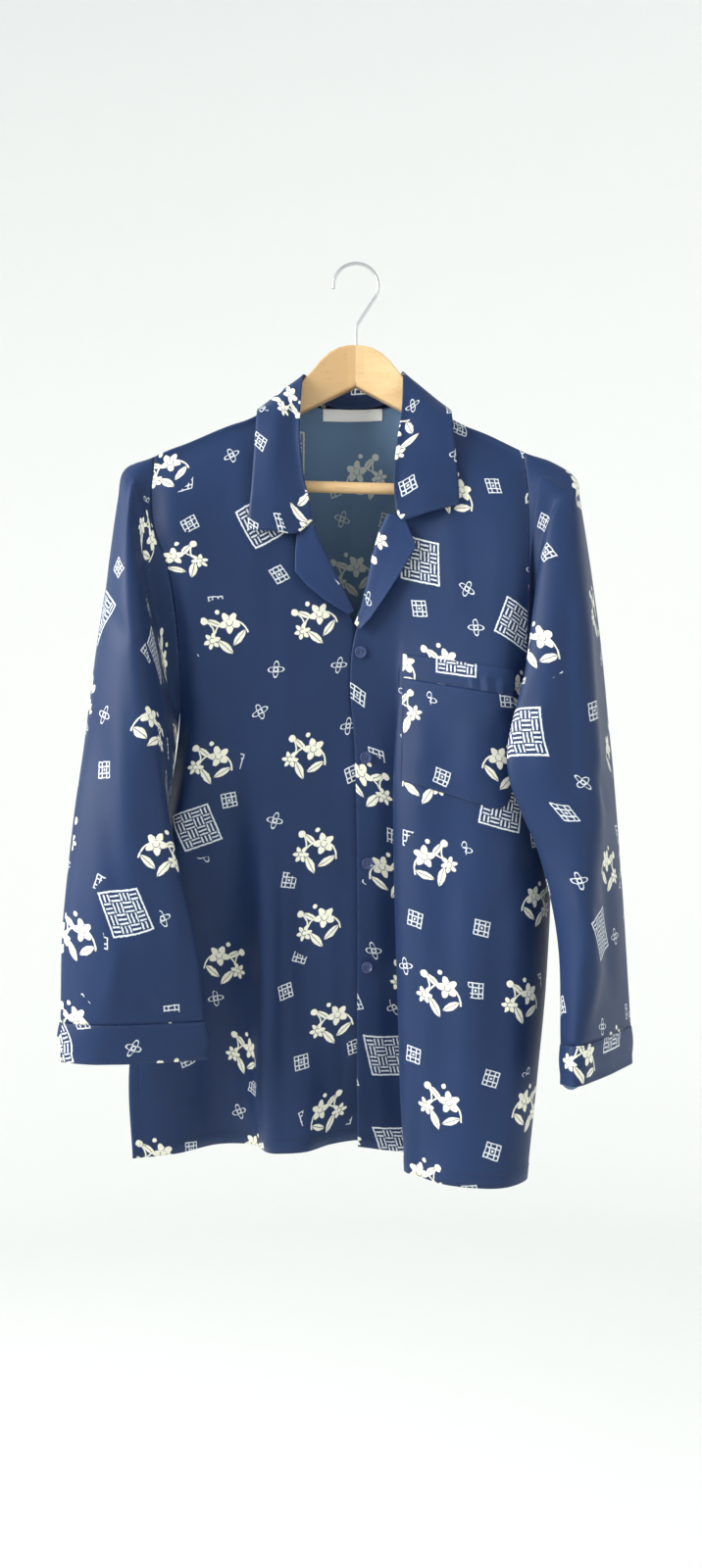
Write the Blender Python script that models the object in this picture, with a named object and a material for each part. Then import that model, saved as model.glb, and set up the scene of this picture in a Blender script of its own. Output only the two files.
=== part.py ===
"""A long-sleeved pyjama shirt with a notched collar, buttoned on a wooden coat hanger."""

import math

import bmesh
import bpy
import numpy as np
from mathutils import Matrix, Vector
from mathutils.bvhtree import BVHTree

# Sizes are in millimetres until the meshes are made. X runs across the shirt, Y towards
# the wall behind it and Z up. The origin is inside the hook, where it bears on a rail.
MM = 0.001

CLOTH = 1.5
COLLAR_CLOTH = 2.0
LAID_ON = 2.7
SEAM_GAP = 0.5
SIDE_GAP = 1.0
ARMHOLE_GAP = 2.2

WIRE = 3.1
HOOK_RADIUS = 22.0
STEM_TOP = -62.0
STEM_FOOT = -79.0

ARM_REACH = 203.0
ARM_THICK = 12.0
ARM_SWEEP = 0.2
ARM_TILT = 0.028
ARM_TOP = ((0, 79.5), (15, 82), (30, 92), (47, 113), (62, 128), (76, 142), (92, 156),
           (128, 173.5), (160, 190), (190, 204.5), (203, 213))
ARM_LOW = ((0, 120.5), (25, 134), (49, 147.5), (75, 162), (92, 172), (120, 189),
           (145, 207), (170, 226), (188, 239), (203, 242))
BAR_RADIUS = 5.5
BAR_REACH = 186.0
BAR_HEIGHT = -226.5

# The cloth's way over an arm, from its crest: how far out, and how high over the arm's top.
OVER_ARM = ((0.0, 2.5), (7.3, 0.8), (9.4, -8.0))

NECK_HALF = 62.0
SHOULDER_LEFT = 161.0
SHOULDER_RIGHT = 192.0

# A row is one level of a front, from its free edge to the armhole or the side seam:
# name, height at the edge, height at the side, sag between, then x and depth (y) of ten
# points. The third and fourth points are the trough and the ridge of the pleat that
# hangs beside the button strip.
FRONT_LEFT = (
    ("chest", -177.5, -233.5, 0, (49, 58, 67, 75, 88, 105, 123, 138, 152, 163),
     (-30, -33, -36, -38, -41, -44, -47, -49, -50, -49)),
    ("bar", -223, -271, 0, (48, 54, 60, 69, 83, 101, 121, 138, 151, 163.5),
     (-43, -44, -45, -46, -48, -51, -55, -58, -59, -56)),
    ("gorge", -267.5, -317, 0, (30, 39, 50, 61, 76, 97, 118, 135, 150, 162.5),
     (-42, -43, -44, -46, -49, -53, -58, -62, -63, -59)),
    ("lapel", -321, -364, 0, (15.5, 28, 42, 53, 70, 93, 116, 134, 149, 161.5),
     (-37, -39, -42, -45, -49, -54, -60, -64, -64, -58)),
    ("break", -369.5, -409.5, 0, (-1.5, 16, 37, 47, 64, 90, 115, 133, 148, 161),
     (-33, -34, -37, -41, -47, -55, -62, -66, -64, -53)),
    ("underarm", -416.5, -454.5, 0, (-5.5, 15, 39, 42, 60, 89, 116, 136, 153, 166.5),
     (-32, -32, -33, -42, -50, -59, -66, -68, -60, -38)),
    ("button 2", -483, -506, 0, (-1, 18, 43, 38, 57, 87, 117, 140, 161, 174.5),
     (-31, -30, -27, -45, -55, -64, -71, -69, -52, -22)),
    ("button 3", -585, -589, 4, (1, 20, 46, 38.5, 59, 89, 122, 156, 182, 187),
     (-27, -24, -18, -47, -60, -70, -77, -70, -42, -8)),
    ("button 4", -686, -687, 4, (1.5, 21, 50, 41.5, 62, 90, 120, 154, 180, 184.5),
     (-20, -16, -8, -49, -64, -76, -83, -75, -44, -6)),
    ("low", -785, -784, 5, (1, 22, 54, 44.5, 62, 88, 118, 149, 171, 174),
     (-10, -5, 2, -50, -66, -80, -87, -79, -50, -10)),
    ("hem", -868, -881.5, 6, (2, 24, 60, 46, 62, 84, 118, 141, 160, 160),
     (4, 10, 12, -50, -66, -83, -90, -85, -60, -18)),
)
FRONT_RIGHT = (
    ("chest", -177.5, -237, 0, (-57, -68, -81, -95, -110, -126, -144, -161, -177, -194),
     (-30, -33, -36, -38, -41, -43, -46, -49, -52, -50)),
    ("bar", -223, -266.5, 0, (-58.5, -67, -78, -93, -109, -126, -142, -159, -176, -191.5),
     (-43, -44, -45, -46, -48, -50, -53, -57, -59, -55)),
    ("gorge", -267.5, -291.5, 0, (-47.5, -57, -68, -84, -102, -119, -136, -152, -167, -182.5),
     (-42, -43, -45, -46, -48, -51, -54, -58, -60, -57)),
    ("lapel", -321, -322, 0, (-21, -32, -47, -65, -83, -103, -121, -140, -158, -174.5),
     (-38, -40, -42, -44, -46, -49, -53, -57, -60, -55)),
    ("break", -370.5, -376, 0, (4.5, -11, -30, -52, -73, -94, -115, -135, -153, -168.5),
     (-28, -33, -38, -42, -45, -48, -51, -55, -57, -50)),
    ("underarm", -418, -440, 0, (20, -1, -24, -47, -70, -93, -114, -134, -152, -168),
     (-27, -28, -33, -38, -42, -44, -46, -50, -50, -38)),
    ("button 2", -485, -496, 0, (21, 0, -24, -47, -70, -91, -115, -139, -160, -176),
     (-25, -26, -29, -34, -39, -41, -40, -43, -42, -20)),
    ("button 3", -587.5, -578, 0, (23, 2, -23, -47, -68, -89, -116, -147, -176, -194),
     (-20, -21, -23, -28, -33, -37, -28, -28, -32, -6)),
    ("button 4", -689.5, -677.5, 0, (25, 2, -23, -47, -67, -89, -108, -143, -181, -208),
     (-11, -12, -13, -19, -27, -32, -12, -6, -22, -4)),
    ("low", -787.5, -787, 0, (26, 3, -23, -47, -68, -89, -108, -143, -185, -221),
     (2, 4, 2, -12, -18, -22, 4, 12, -10, -14)),
    ("hem", -867, -874, 1, (27, 1, -26, -48, -70, -86, -103, -139, -176, -217),
     (22, 30, 17, -8, -12, -6, 27, 32, -2, -18)),
)
UNDERARM_LEVEL = 8
ARMHOLE_DEPTH = 33.0

# A row is one level of the back: the row of the fronts that it meets at the side seams,
# then height and depth at its middle.
BACK = ((1, -166, 25), (2, -215, 28), (3, -262, 31), (4, -315, 34), (5, -365, 36),
        (6, -425, 39), (7, -490, 42), (8, -588, 46), (9, -688, 50), (10, -787, 54),
        (11, -874, 56))
BACK_FOLDS = ((0.27, 0.07, 9.0), (0.52, 0.06, -7.0), (0.75, 0.07, 8.0))
BACK_NECK = ((-61.5, -10, -123.6), (-60, -1, -124.8), (-54, 6, -130), (-42, 14, -134.5),
             (-23, 20, -137.8), (-2, 22, -138.5), (19, 20, -137.8), (38, 14, -134.5),
             (51, 6, -131.5), (60, -1, -128.2), (61.5, -10, -127))

# A row is one ring of a sleeve: name, height at the overarm and at the underarm, then x
# and depth of eight points: overarm, outer front, front fold, inner front, underarm,
# inner back, back, outer back. RING_DROP says how far each point has come down.
RING_DROP = (0.0, 0.05, 0.11, 0.38, 1.0, 0.72, 0.34, 0.03)
SLEEVE_RIGHT = (
    ("tip", -211, -452, (-220, -213, -207, -197, -171, -184, -198, -215),
     (-42, -54, -61, -60, -33, -8, -14, -30)),
    ("head", -243, -465, (-226, -216, -209, -196, -172, -189, -206, -220),
     (-48, -66, -69, -62, -37, -2, -8, -28)),
    ("upper", -311, -487, (-234, -218, -203, -188, -173, -196, -217, -233),
     (-56, -82, -84, -64, -43, 3, 2, -20)),
    ("biceps", -392, -515, (-244, -218, -195, -180, -175.5, -203, -231, -245),
     (-62, -91, -90, -69, -49, 0, 4, -22)),
    ("elbow", -488, -557, (-254, -218, -184, -177, -183, -211, -240, -258),
     (-66, -96, -92, -70, -50, -14, -8, -28)),
    ("forearm", -576, -617, (-263, -219, -169, -172, -187, -212, -244, -265),
     (-72, -98, -88, -67, -53, -36, -30, -42)),
    ("wrist", -656, -682, (-270, -222, -153, -160, -181, -209, -242, -268),
     (-77, -97, -80, -65, -57, -50, -46, -54)),
    ("end", -732, -734, (-271, -225, -146, -155, -178, -208, -240, -268),
     (-80, -94, -72, -61, -57, -56, -57, -65)),
)
SLEEVE_LEFT = (
    ("cap", -202.5, -460, (186, 180, 173, 167, 173, 172, 179, 184),
     (-37, -47, -53, -56, -35, -8, -14, -23)),
    ("tip", -220, -466, (209, 201, 186, 171, 175, 183, 195, 207),
     (-42, -55, -60, -58, -36, -8, -14, -30)),
    ("head", -244, -473, (213, 203, 180, 170, 177, 190, 206, 214),
     (-44, -66, -69, -58, -32, -2, -6, -26)),
    ("upper", -310, -496, (222, 204, 169, 168, 181, 202, 222, 227),
     (-48, -84, -80, -58, -24, 8, 8, -14)),
    ("biceps", -387, -524, (231, 204, 157, 168, 187, 211, 233, 238),
     (-48, -100, -94, -62, -24, 10, 10, -12)),
    ("elbow", -484, -558, (240, 208, 139, 164, 193, 220, 242, 246),
     (-46, -114, -106, -72, -26, 6, 8, -14)),
    ("forearm", -574, -609, (248, 211, 170, 180, 201, 228, 246, 251),
     (-44, -120, -104, -74, -36, -6, -4, -20)),
    ("wrist", -655, -680, (254, 210, 186, 190, 208, 231, 249, 256),
     (-42, -122, -108, -78, -46, -20, -14, -24)),
    ("end", -744, -762, (260, 205, 187, 190, 204, 225, 246, 260),
     (-36, -120, -112, -86, -58, -34, -20, -24)),
)
CUFF_DEPTH = 36.0
CUFF_DROP = 0.5

# A row is one station of the collar: its foot on the neck seam, its rolled fold and its
# outer edge.
COLLAR = (
    ((-47, -45.5, -262), (-42, -51, -261.5), (-102.5, -54, -270)),
    ((-51, -46, -240), (-46, -52, -238), (-101, -54, -250)),
    ((-55, -45, -220), (-50.5, -51, -217), (-99, -53, -230)),
    ((-59.5, -36, -184), (-54, -46, -180), (-96.5, -49, -193)),
    ((-60.5, -27, -150), (-54, -33, -147), (-95, -38, -158)),
    ((-58.5, -19, -123.5), (-52.5, -22, -121), (-94.5, -26, -149.5)),
    ((-58, -11, -120), (-51, -12, -111.5), (-92.5, -14, -146)),
    ((-57, -1, -120.5), (-48, 2, -110), (-89, 5, -149.5)),
    ((-50.5, 5.5, -125.5), (-42.5, 13, -108.5), (-80, 17, -157)),
    ((-39, 13, -130.5), (-29, 23, -108), (-54, 29, -164)),
    ((-22, 19.5, -135), (-15, 28, -107.5), (-27, 34, -169)),
    ((-2, 21.5, -136), (-2, 30, -107), (-2, 37, -171)),
    ((19, 19.5, -135), (12, 28, -107.5), (23, 34, -169)),
    ((35, 13, -130.5), (26, 23, -108.5), (50, 29, -165)),
    ((47.5, 5.5, -126.5), (38.5, 13.5, -109), (76, 19, -159.5)),
    ((56.5, -1, -122), (43.5, 2, -108), (85, 7, -150)),
    ((58, -11, -121.5), (46, -12, -108.8), (88.5, -14, -147.5)),
    ((58.5, -19, -125), (46, -21.5, -118.5), (91, -26.5, -150)),
    ((57, -27, -152), (44.5, -33, -150), (92, -38, -160)),
    ((51, -36, -184), (40, -44, -182), (94, -48, -190)),
    ((46, -45, -212), (37, -51, -208), (96, -52, -216)),
    ((44, -46, -232), (36.5, -52, -229), (97, -55, -232)),
    ((43, -46, -251.5), (38.5, -52, -252.5), (97.5, -55, -246.5)),
)
COLLAR_BULGE = 3.5

# The lower ends of the collar: the notch, where a lapel comes out from under it, and a
# point between the notch and the outer corner.
COLLAR_ENDS = (
    ((-56.7, -54, -273.5), (-79, -56, -271.5)),
    ((45.3, -54.5, -260.6), (71, -57, -253.5)),
)

# A row is one level of a lapel: its rolled edge, its outer edge, and how wide and how
# deep its facing turns in behind the roll.
LAPEL_LEFT = (
    ((31.3, -51, -254.5), (46, -50.5, -258.5), (8, 13)),
    ((28.5, -50.5, -260), (50.5, -52, -270), (8.5, 13)),
    ((24, -50, -270), (57, -54, -285.5), (9, 12.5)),
    ((17.5, -48, -291), (43, -53, -309.5), (8, 12)),
    ((12, -45, -316), (29, -49.5, -331), (7, 11)),
    ((5.5, -42, -341), (13.5, -45.5, -353), (3.5, 9.6)),
    ((-0.8, -39.5, -357.5), (3.2, -42, -363.5), (2.5, 7.5)),
)
LAPEL_RIGHT = (
    ((-40.5, -50.5, -264.5), (-56, -50, -271.5), (9, 12)),
    ((-36.5, -50, -277), (-57.5, -51.5, -291), (9, 12)),
    ((-29, -49, -294), (-58, -51.5, -309), (9, 12)),
    ((-21.5, -47, -309), (-46, -50.5, -323), (8, 12)),
    ((-13.5, -45, -324), (-29, -48.5, -336), (6, 11)),
    ((-6.5, -43, -337), (-16, -46, -344), (4, 9)),
    ((-2.5, -41, -346), (-7, -43.5, -349), (1.5, 1.5)),
)

POCKET_TOP = ((45, -409.5), (147.5, -429))
POCKET_FOOT = ((43, -507), (143.5, -534))
POCKET_ROUND = 14.0
BAND_DEPTH = 23.0

BUTTONS = ((4.5, -384), (9.5, -485), (11, -587), (10.5, -688))
BUTTON_RADIUS = 5.7
BUTTON_THICK = 2.4
BUTTON_HOLE = 0.9

LABEL_SIZE = (60.0, 12.0)
LABEL_TOP = -136.5

# The label is sewn over the neck seam, and the back lies behind it from here down.
LABEL_SEAM = -140.0
LABEL_LIFT = 2.3

for data in (bpy.data.objects, bpy.data.meshes, bpy.data.curves, bpy.data.materials):
    for item in list(data):
        data.remove(item)


def material(name, colour, rough, metal=0.0, sheen=0.0):
    made = bpy.data.materials.new(name)
    made.use_nodes = True
    shader = made.node_tree.nodes["Principled BSDF"]
    shader.inputs["Base Color"].default_value = (*colour, 1.0)
    shader.inputs["Roughness"].default_value = rough
    shader.inputs["Metallic"].default_value = metal
    shader.inputs["Sheen Weight"].default_value = sheen
    return made


SATEEN = material("navy_sateen", (0.045, 0.075, 0.195), 0.45, sheen=0.3)
SATEEN_FACING = material("navy_facing", (0.04, 0.065, 0.17), 0.5, sheen=0.3)
BEECH = material("varnished_beech", (0.78, 0.55, 0.30), 0.35)
STEEL = material("nickelled_steel", (0.78, 0.78, 0.80), 0.22, metal=1.0)
SHELL = material("navy_resin", (0.03, 0.045, 0.12), 0.25)
TAPE = material("white_tape", (0.88, 0.88, 0.87), 0.6)


def through(stops, values, at):
    """Points on the smooth curve that passes through one value at each stop."""
    stops = np.asarray(stops, float)
    values = np.asarray(values, float)
    at = np.asarray(at, float)
    slope = np.gradient(values, stops, axis=0)
    place = np.clip(np.searchsorted(stops, at, side="right") - 1, 0, len(stops) - 2)
    shape = (-1,) + (1,) * (values.ndim - 1)
    span = (stops[place + 1] - stops[place]).reshape(shape)
    t = (at - stops[place]).reshape(shape) / span
    rise = t * t * (3 - 2 * t)
    return (
        (1 - rise) * values[place]
        + rise * values[place + 1]
        + t * (1 - t) ** 2 * span * slope[place]
        + t * t * (t - 1) * span * slope[place + 1]
    )


def resample(grid, rows, columns, kept=0):
    """The grid with this many rows and columns, smooth both ways, its first rows kept as they are."""
    down = np.concatenate([np.arange(kept), np.linspace(kept, len(grid) - 1, rows - kept)])
    tall = through(range(len(grid)), grid, down)
    wide = tall.transpose(1, 0, 2)
    fine = through(range(len(wide)), wide, np.linspace(0, len(wide) - 1, columns))
    return fine.transpose(1, 0, 2)


def straight(values, at):
    """Points on the straight lines that join the values, counted in values."""
    values = np.asarray(values, float)
    place = np.clip(np.floor(at).astype(int), 0, len(values) - 2)
    share = (np.asarray(at) - place).reshape((-1,) + (1,) * (values.ndim - 1))
    return values[place] * (1 - share) + values[place + 1] * share


def arm_depth(x):
    """Depth of the hanger's arms: they sweep towards the viewer."""
    return -ARM_SWEEP * (np.hypot(x, 12.0) - 12.0)


def arm_height(table, x):
    """Height of an edge of the arms, which hang a little low on one side."""
    reach, drop = np.transpose(table)
    return -through(reach, drop, np.abs(x)) - ARM_TILT * np.asarray(x, float)


def shoulder(x, depth, lift):
    """Points along the top of the arms at the given x, moved in depth and height."""
    x = np.asarray(x, float)
    return np.stack([x, arm_depth(x) + depth, arm_height(ARM_TOP, x) + lift], -1)


def section(row):
    """The points of one level of a front, from its edge to its side."""
    _, z_edge, z_side, sag, x, y = row
    x = np.asarray(x, float)
    share = (x - x[0]) / (x[-1] - x[0])
    z = z_edge + (z_side - z_edge) * share - sag * np.sin(math.pi * np.clip(share, 0, 1))
    return np.stack([x, np.asarray(y, float), z], -1)


def front_levels(rows, neck, tip):
    """All levels of a front, from the shoulder seam on top of the hanger to the hem."""
    across = np.linspace(neck, tip, 10)
    over = [shoulder(across, -depth, lift) for depth, lift in OVER_ARM]
    return np.array(over + [section(row) for row in rows])


FRONTS = {
    "left": front_levels(FRONT_LEFT, NECK_HALF, SHOULDER_LEFT),
    "right": front_levels(FRONT_RIGHT, -NECK_HALF, -SHOULDER_RIGHT),
}


def side_edge(side, level, back):
    """The armhole and side seam at this level, as the front or the back has it."""
    level = np.asarray(level, float)
    edge = FRONTS[side][:, -1]
    found = through(range(len(edge)), edge, level)
    if back:
        share = np.clip(level / UNDERARM_LEVEL, 0, 1)
        found[:, 1] += ARMHOLE_DEPTH * np.sin(math.pi * share)
        below = np.clip((level - UNDERARM_LEVEL - 2) / 3, 0, 1)
        found[:, 1] += 16.0 * below**2
    return found


def back_levels(columns=23):
    """All levels of the back, from the shoulders and the neck seam to the hem."""
    left = np.linspace(-SHOULDER_RIGHT, -NECK_HALF, 6)
    right = np.linspace(NECK_HALF, SHOULDER_LEFT, 6)
    neck = np.array(BACK_NECK, float)
    near = np.clip(np.abs(neck[:, 0]) / NECK_HALF, 0, 1)
    levels = []
    for depth, lift in OVER_ARM:
        spread = neck * (1 + 0.003 * depth, 1, 1)
        spread[:, 1] += depth * (0.15 + 0.85 * near**8)
        spread[:, 2] += (lift - OVER_ARM[0][1]) * (0.45 + 0.55 * near**6)
        ends = [shoulder(left, depth, lift), spread, shoulder(right, depth, lift)]
        levels.append(np.concatenate(ends))
    top = levels[0]
    share = (top[:, 0] - top[0, 0]) / (top[-1, 0] - top[0, 0])
    for level, height, depth in BACK:
        ends = [side_edge(side, [level + 2], True)[0] for side in ("right", "left")]
        even = np.linspace(0, 1, columns)
        spot = share + (even - share) * min(1.0, level / 6)
        row = ends[0] + (ends[1] - ends[0]) * spot[:, None]
        crown = 1 - np.abs(2 * spot - 1) ** (1.1 + 0.35 * min(level, 6))
        row[:, 1] += (depth - row[:, 1]) * crown
        row[:, 2] += (height - row[:, 2]) * (1 - np.abs(2 * spot - 1) ** 1.5)
        for place, width, swing in BACK_FOLDS:
            row[:, 1] += swing * (level / 11) ** 2 * np.exp(-(((spot - place) / width) ** 2))
        levels.append(row)
    return np.array(levels)


def ring(row):
    """The points round a sleeve at one row of its table."""
    _, over, under, x, y = row
    z = over + (under - over) * np.asarray(RING_DROP)
    return np.stack([np.asarray(x, float), np.asarray(y, float), z], -1)


def armhole_ring(side, count):
    """Points round the armhole, down its front and up its back."""
    down = np.linspace(0, UNDERARM_LEVEL, count // 2 + 1)
    return np.concatenate([side_edge(side, down, False), side_edge(side, down[-2:0:-1], True)])


def closed_rows(rows, count):
    """Rings of eight points made into smooth rings of this many."""
    rows = np.asarray(rows)
    wide = np.concatenate([rows[:, -2:], rows, rows[:, :3]], 1).transpose(1, 0, 2)
    at = 2 + np.arange(count) * rows.shape[1] / count
    return through(range(len(wide)), wide, at).transpose(1, 0, 2)


def sleeve_rings(side, rows, count, levels):
    """The rings of a sleeve, from the armhole to the cuff."""
    rings = closed_rows([ring(row) for row in rows], count)
    rings = np.concatenate([armhole_ring(side, count)[None], rings])
    return through(range(len(rings)), rings, np.linspace(0, len(rings) - 1, levels))


def cuff_rings(rows, count):
    """The rings of a cuff, which carries the sleeve's end straight on."""
    last, end = closed_rows([ring(rows[-2]), ring(rows[-1])], count)
    way = end - last
    way /= np.linalg.norm(way, axis=1)[:, None]
    way = way * CUFF_DROP + np.array((0, 0, -1)) * (1 - CUFF_DROP)
    way /= np.linalg.norm(way, axis=1)[:, None]
    middle = end.mean(0)
    rings = []
    for step in np.linspace(0, 1, 4):
        loose = 1.0 + 0.035 * math.sin(math.pi * min(step * 1.3, 1.0))
        rings.append(middle + (end - middle) * (loose, loose, 1) + way * CUFF_DEPTH * step)
    return np.array(rings)


def collar_levels(stations):
    """The collar across its rolled fold, from the neck seam to the outer edge."""
    foot, roll, edge = np.asarray(stations, float).transpose(1, 0, 2)
    stand = foot + (roll - foot) * 0.7
    outward = edge - roll
    outward /= np.linalg.norm(outward, axis=1)[:, None]
    fall = roll + outward * 6.0 + (foot - roll) * 0.06
    rise = roll - foot
    rise /= np.linalg.norm(rise, axis=1)[:, None]
    middle = roll + (edge - roll) * 0.55 + rise * COLLAR_BULGE
    for end, (notch, between) in zip((0, -1), COLLAR_ENDS):
        fall[end] = notch
        middle[end] = between
    return np.array([foot, stand, roll, fall, middle, edge])


def lapel_levels(rows, way):
    """A lapel from its facing inside the front, round its rolled edge, to its outer edge."""
    roll = np.array([row[0] for row in rows], float)
    outer = np.array([row[1] for row in rows], float)
    wide, deep = np.transpose([row[2] for row in rows])
    inner = roll + np.stack([way * wide, deep, 0 * wide], -1)
    turn = roll + np.stack([way * 0.02 * wide, 0.55 * deep, 0 * wide], -1)
    middle = roll + (outer - roll) * 0.5
    return np.array([inner, turn, roll, middle, outer])


def pull_back(grid, gap, sides):
    """Draws the named edges of a grid back along its surface, which leaves a seam's gap."""
    out = grid.copy()
    for side in sides:
        edge, inner = {
            "first row": ((0,), (1,)),
            "last row": ((-1,), (-2,)),
            "first column": ((slice(None), 0), (slice(None), 1)),
            "last column": ((slice(None), -1), (slice(None), -2)),
        }[side]
        way = grid[inner] - grid[edge]
        out[edge] += way / np.linalg.norm(way, axis=-1)[..., None] * gap
    return out


def mesh_of(name, grid, looped):
    """A mesh of quads through a grid of points. A looped grid joins its last column to its first."""
    work = bmesh.new()
    verts = [[work.verts.new(Vector(point) * MM) for point in row] for row in grid]
    columns = len(grid[0])
    for upper, lower in zip(verts, verts[1:]):
        for i in range(columns if looped else columns - 1):
            j = (i + 1) % columns
            work.faces.new((upper[i], lower[i], lower[j], upper[j]))
    for edge in work.edges:
        edge.smooth = len(edge.link_faces) == 2
    mesh = bpy.data.meshes.new(name)
    work.to_mesh(mesh)
    work.free()
    return mesh


def add(name, data, look):
    made = bpy.data.objects.new(name, data)
    made.data.materials.append(look)
    bpy.context.scene.collection.objects.link(made)
    return made


def cloth(name, grid, look, looped=False, thick=CLOTH):
    """A named piece of cloth: its middle surface, given its wall by a Solidify modifier."""
    made = add(name, mesh_of(name, grid, looped), look)
    made.data.polygons.foreach_set("use_smooth", [True] * len(made.data.polygons))
    wall = made.modifiers.new("wall", "SOLIDIFY")
    wall.thickness = thick * MM
    wall.offset = 0.0
    wall.use_even_offset = False
    return made


def tree_of(grid):
    """A search tree over a grid of points, for laying a piece on it."""
    rows, columns = grid.shape[:2]
    faces = []
    for r in range(rows - 1):
        for c in range(columns - 1):
            k = r * columns + c
            faces.append((k, k + columns, k + columns + 1, k + 1))
    return BVHTree.FromPolygons([Vector(p) for p in grid.reshape(-1, 3)], faces)


def laid_on(tree, x, z, lift):
    """The point of a surface that the viewer sees at x and z, moved out, and its normal."""
    place, normal, _, _ = tree.ray_cast(Vector((x, -400.0, z)), Vector((0.0, 1.0, 0.0)))
    if normal.y > 0:
        normal = -normal
    return place + normal * lift, normal


def pocket_grid(tree, rows, columns, start, end):
    """The pocket from start to end of its depth, with one rounded lower corner."""
    (x0, z0), (x1, z1) = POCKET_TOP
    (x2, z2), (x3, z3) = POCKET_FOOT
    grid = []
    for step in np.linspace(1, 0, rows):
        v = end - (end - start) * step**1.6
        line = []
        for u in np.linspace(0, 1, columns):
            left = (x0 + (x2 - x0) * v, z0 + (z2 - z0) * v)
            right = (x1 + (x3 - x1) * v, z1 + (z3 - z1) * v)
            near = max(0.0, 1 - (1 - v) * (z0 - z2) / POCKET_ROUND)
            turn = POCKET_ROUND * (1 - math.sqrt(max(0.0, 1 - near * near)))
            x = left[0] + (right[0] - turn - left[0]) * u
            z = left[1] + (right[1] - left[1]) * u
            line.append(laid_on(tree, x, z, LAID_ON)[0])
        grid.append(line)
    return np.array(grid)


def build_shirt():
    left = resample(FRONTS["left"], 28, 24, kept=2)
    right = resample(FRONTS["right"], 28, 21, kept=2)
    edges = ("first row", "first column", "last column")
    left = pull_back(pull_back(left, SEAM_GAP, edges[:2]), SIDE_GAP, edges[2:])
    right = pull_back(pull_back(right, SEAM_GAP, edges[:2]), SIDE_GAP, edges[2:])
    cloth("front_left", left, SATEEN)
    cloth("front_right", right, SATEEN)
    back = resample(back_levels(), 28, 27, kept=2)
    back = pull_back(pull_back(back, SEAM_GAP, edges[:1]), SIDE_GAP * 1.6, edges[1:])
    cloth("back", back, SATEEN)
    for side, rows in (("left", SLEEVE_LEFT), ("right", SLEEVE_RIGHT)):
        rings = pull_back(sleeve_rings(side, rows, 18, 22), ARMHOLE_GAP, ("first row",))
        cloth(f"sleeve_{side}", pull_back(rings, SEAM_GAP, ("last row",)), SATEEN, looped=True)
        rings = cuff_rings(rows, 18)
        cloth(f"cuff_{side}", rings, SATEEN, looped=True, thick=COLLAR_CLOTH)
    collar = resample(collar_levels(COLLAR), 9, 37)
    cloth("collar", pull_back(collar, 0.8, ("first row",)), SATEEN, thick=COLLAR_CLOTH)
    for side, rows, way in (("left", LAPEL_LEFT, 1), ("right", LAPEL_RIGHT, -1)):
        levels = through(range(5), lapel_levels(rows, way), np.linspace(0, 4, 12))
        lapel = straight(levels.transpose(1, 0, 2), np.linspace(0, 6, 13)).transpose(1, 0, 2)
        cloth(f"lapel_{side}", lapel, SATEEN_FACING)
    tree = tree_of(left)
    pocket = pocket_grid(tree, 12, 12, 0.0, 1.0)
    cloth("pocket", pull_back(pocket, SEAM_GAP, ("first row",)), SATEEN)
    band = pocket_grid(tree, 4, 12, -BAND_DEPTH / 97.5, 0.0)
    cloth("pocket_band", pull_back(band, SEAM_GAP, ("last row",)), SATEEN)
    tree_back = tree_of(back)
    wide, tall = LABEL_SIZE
    grid = []
    for v in range(3):
        line = []
        for u in range(9):
            x = -3.0 + wide * (u / 8 - 0.5)
            z = LABEL_TOP - tall * v / 2
            place = laid_on(tree_back, x, min(z, LABEL_SEAM), LABEL_LIFT)[0]
            line.append((place.x, place.y, z + place.z - min(z, LABEL_SEAM)))
        grid.append(line)
    cloth("label", np.array(grid), TAPE, thick=1.0)
    return tree


def build_buttons(tree):
    """Four buttons with four holes each, lying on the left front."""
    for number, (x, z) in enumerate(BUTTONS, 1):
        place, normal = laid_on(tree, x, z, CLOTH / 2 + 0.3 + BUTTON_THICK / 2)
        turn = normal.to_track_quat("Z", "Y").to_matrix().to_4x4()
        stand = Matrix.Translation(place * MM) @ turn
        work = bmesh.new()
        bmesh.ops.create_cone(work, cap_ends=True, segments=18, radius1=BUTTON_RADIUS * MM,
                              radius2=BUTTON_RADIUS * MM, depth=BUTTON_THICK * MM)
        caps = [face for face in work.faces if len(face.verts) > 4 and face.normal.z > 0]
        bmesh.ops.inset_region(work, faces=caps, thickness=1.2 * MM, depth=-0.5 * MM)
        mesh = bpy.data.meshes.new(f"button_{number}")
        work.to_mesh(mesh)
        work.free()
        made = add(f"button_{number}", mesh, SHELL)
        made.matrix_world = stand
        made.data.shade_smooth()
        made.data.set_sharp_from_angle(angle=math.radians(40))
        holes = bmesh.new()
        for dx, dy in ((1, 1), (1, -1), (-1, 1), (-1, -1)):
            spot = Matrix.Translation((dx * 1.3 * MM, dy * 1.3 * MM, 0))
            bmesh.ops.create_cone(holes, cap_ends=True, segments=6, radius1=BUTTON_HOLE * MM,
                                  radius2=BUTTON_HOLE * MM, depth=6 * MM, matrix=spot)
        mesh = bpy.data.meshes.new(f"button_holes_{number}")
        holes.to_mesh(mesh)
        holes.free()
        cutter = add(f"button_holes_{number}", mesh, SHELL)
        cutter.matrix_world = stand
        cutter.hide_render = True
        cutter.display_type = "WIRE"
        cut = made.modifiers.new("holes", "BOOLEAN")
        cut.operation = "DIFFERENCE"
        cut.object = cutter


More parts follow.
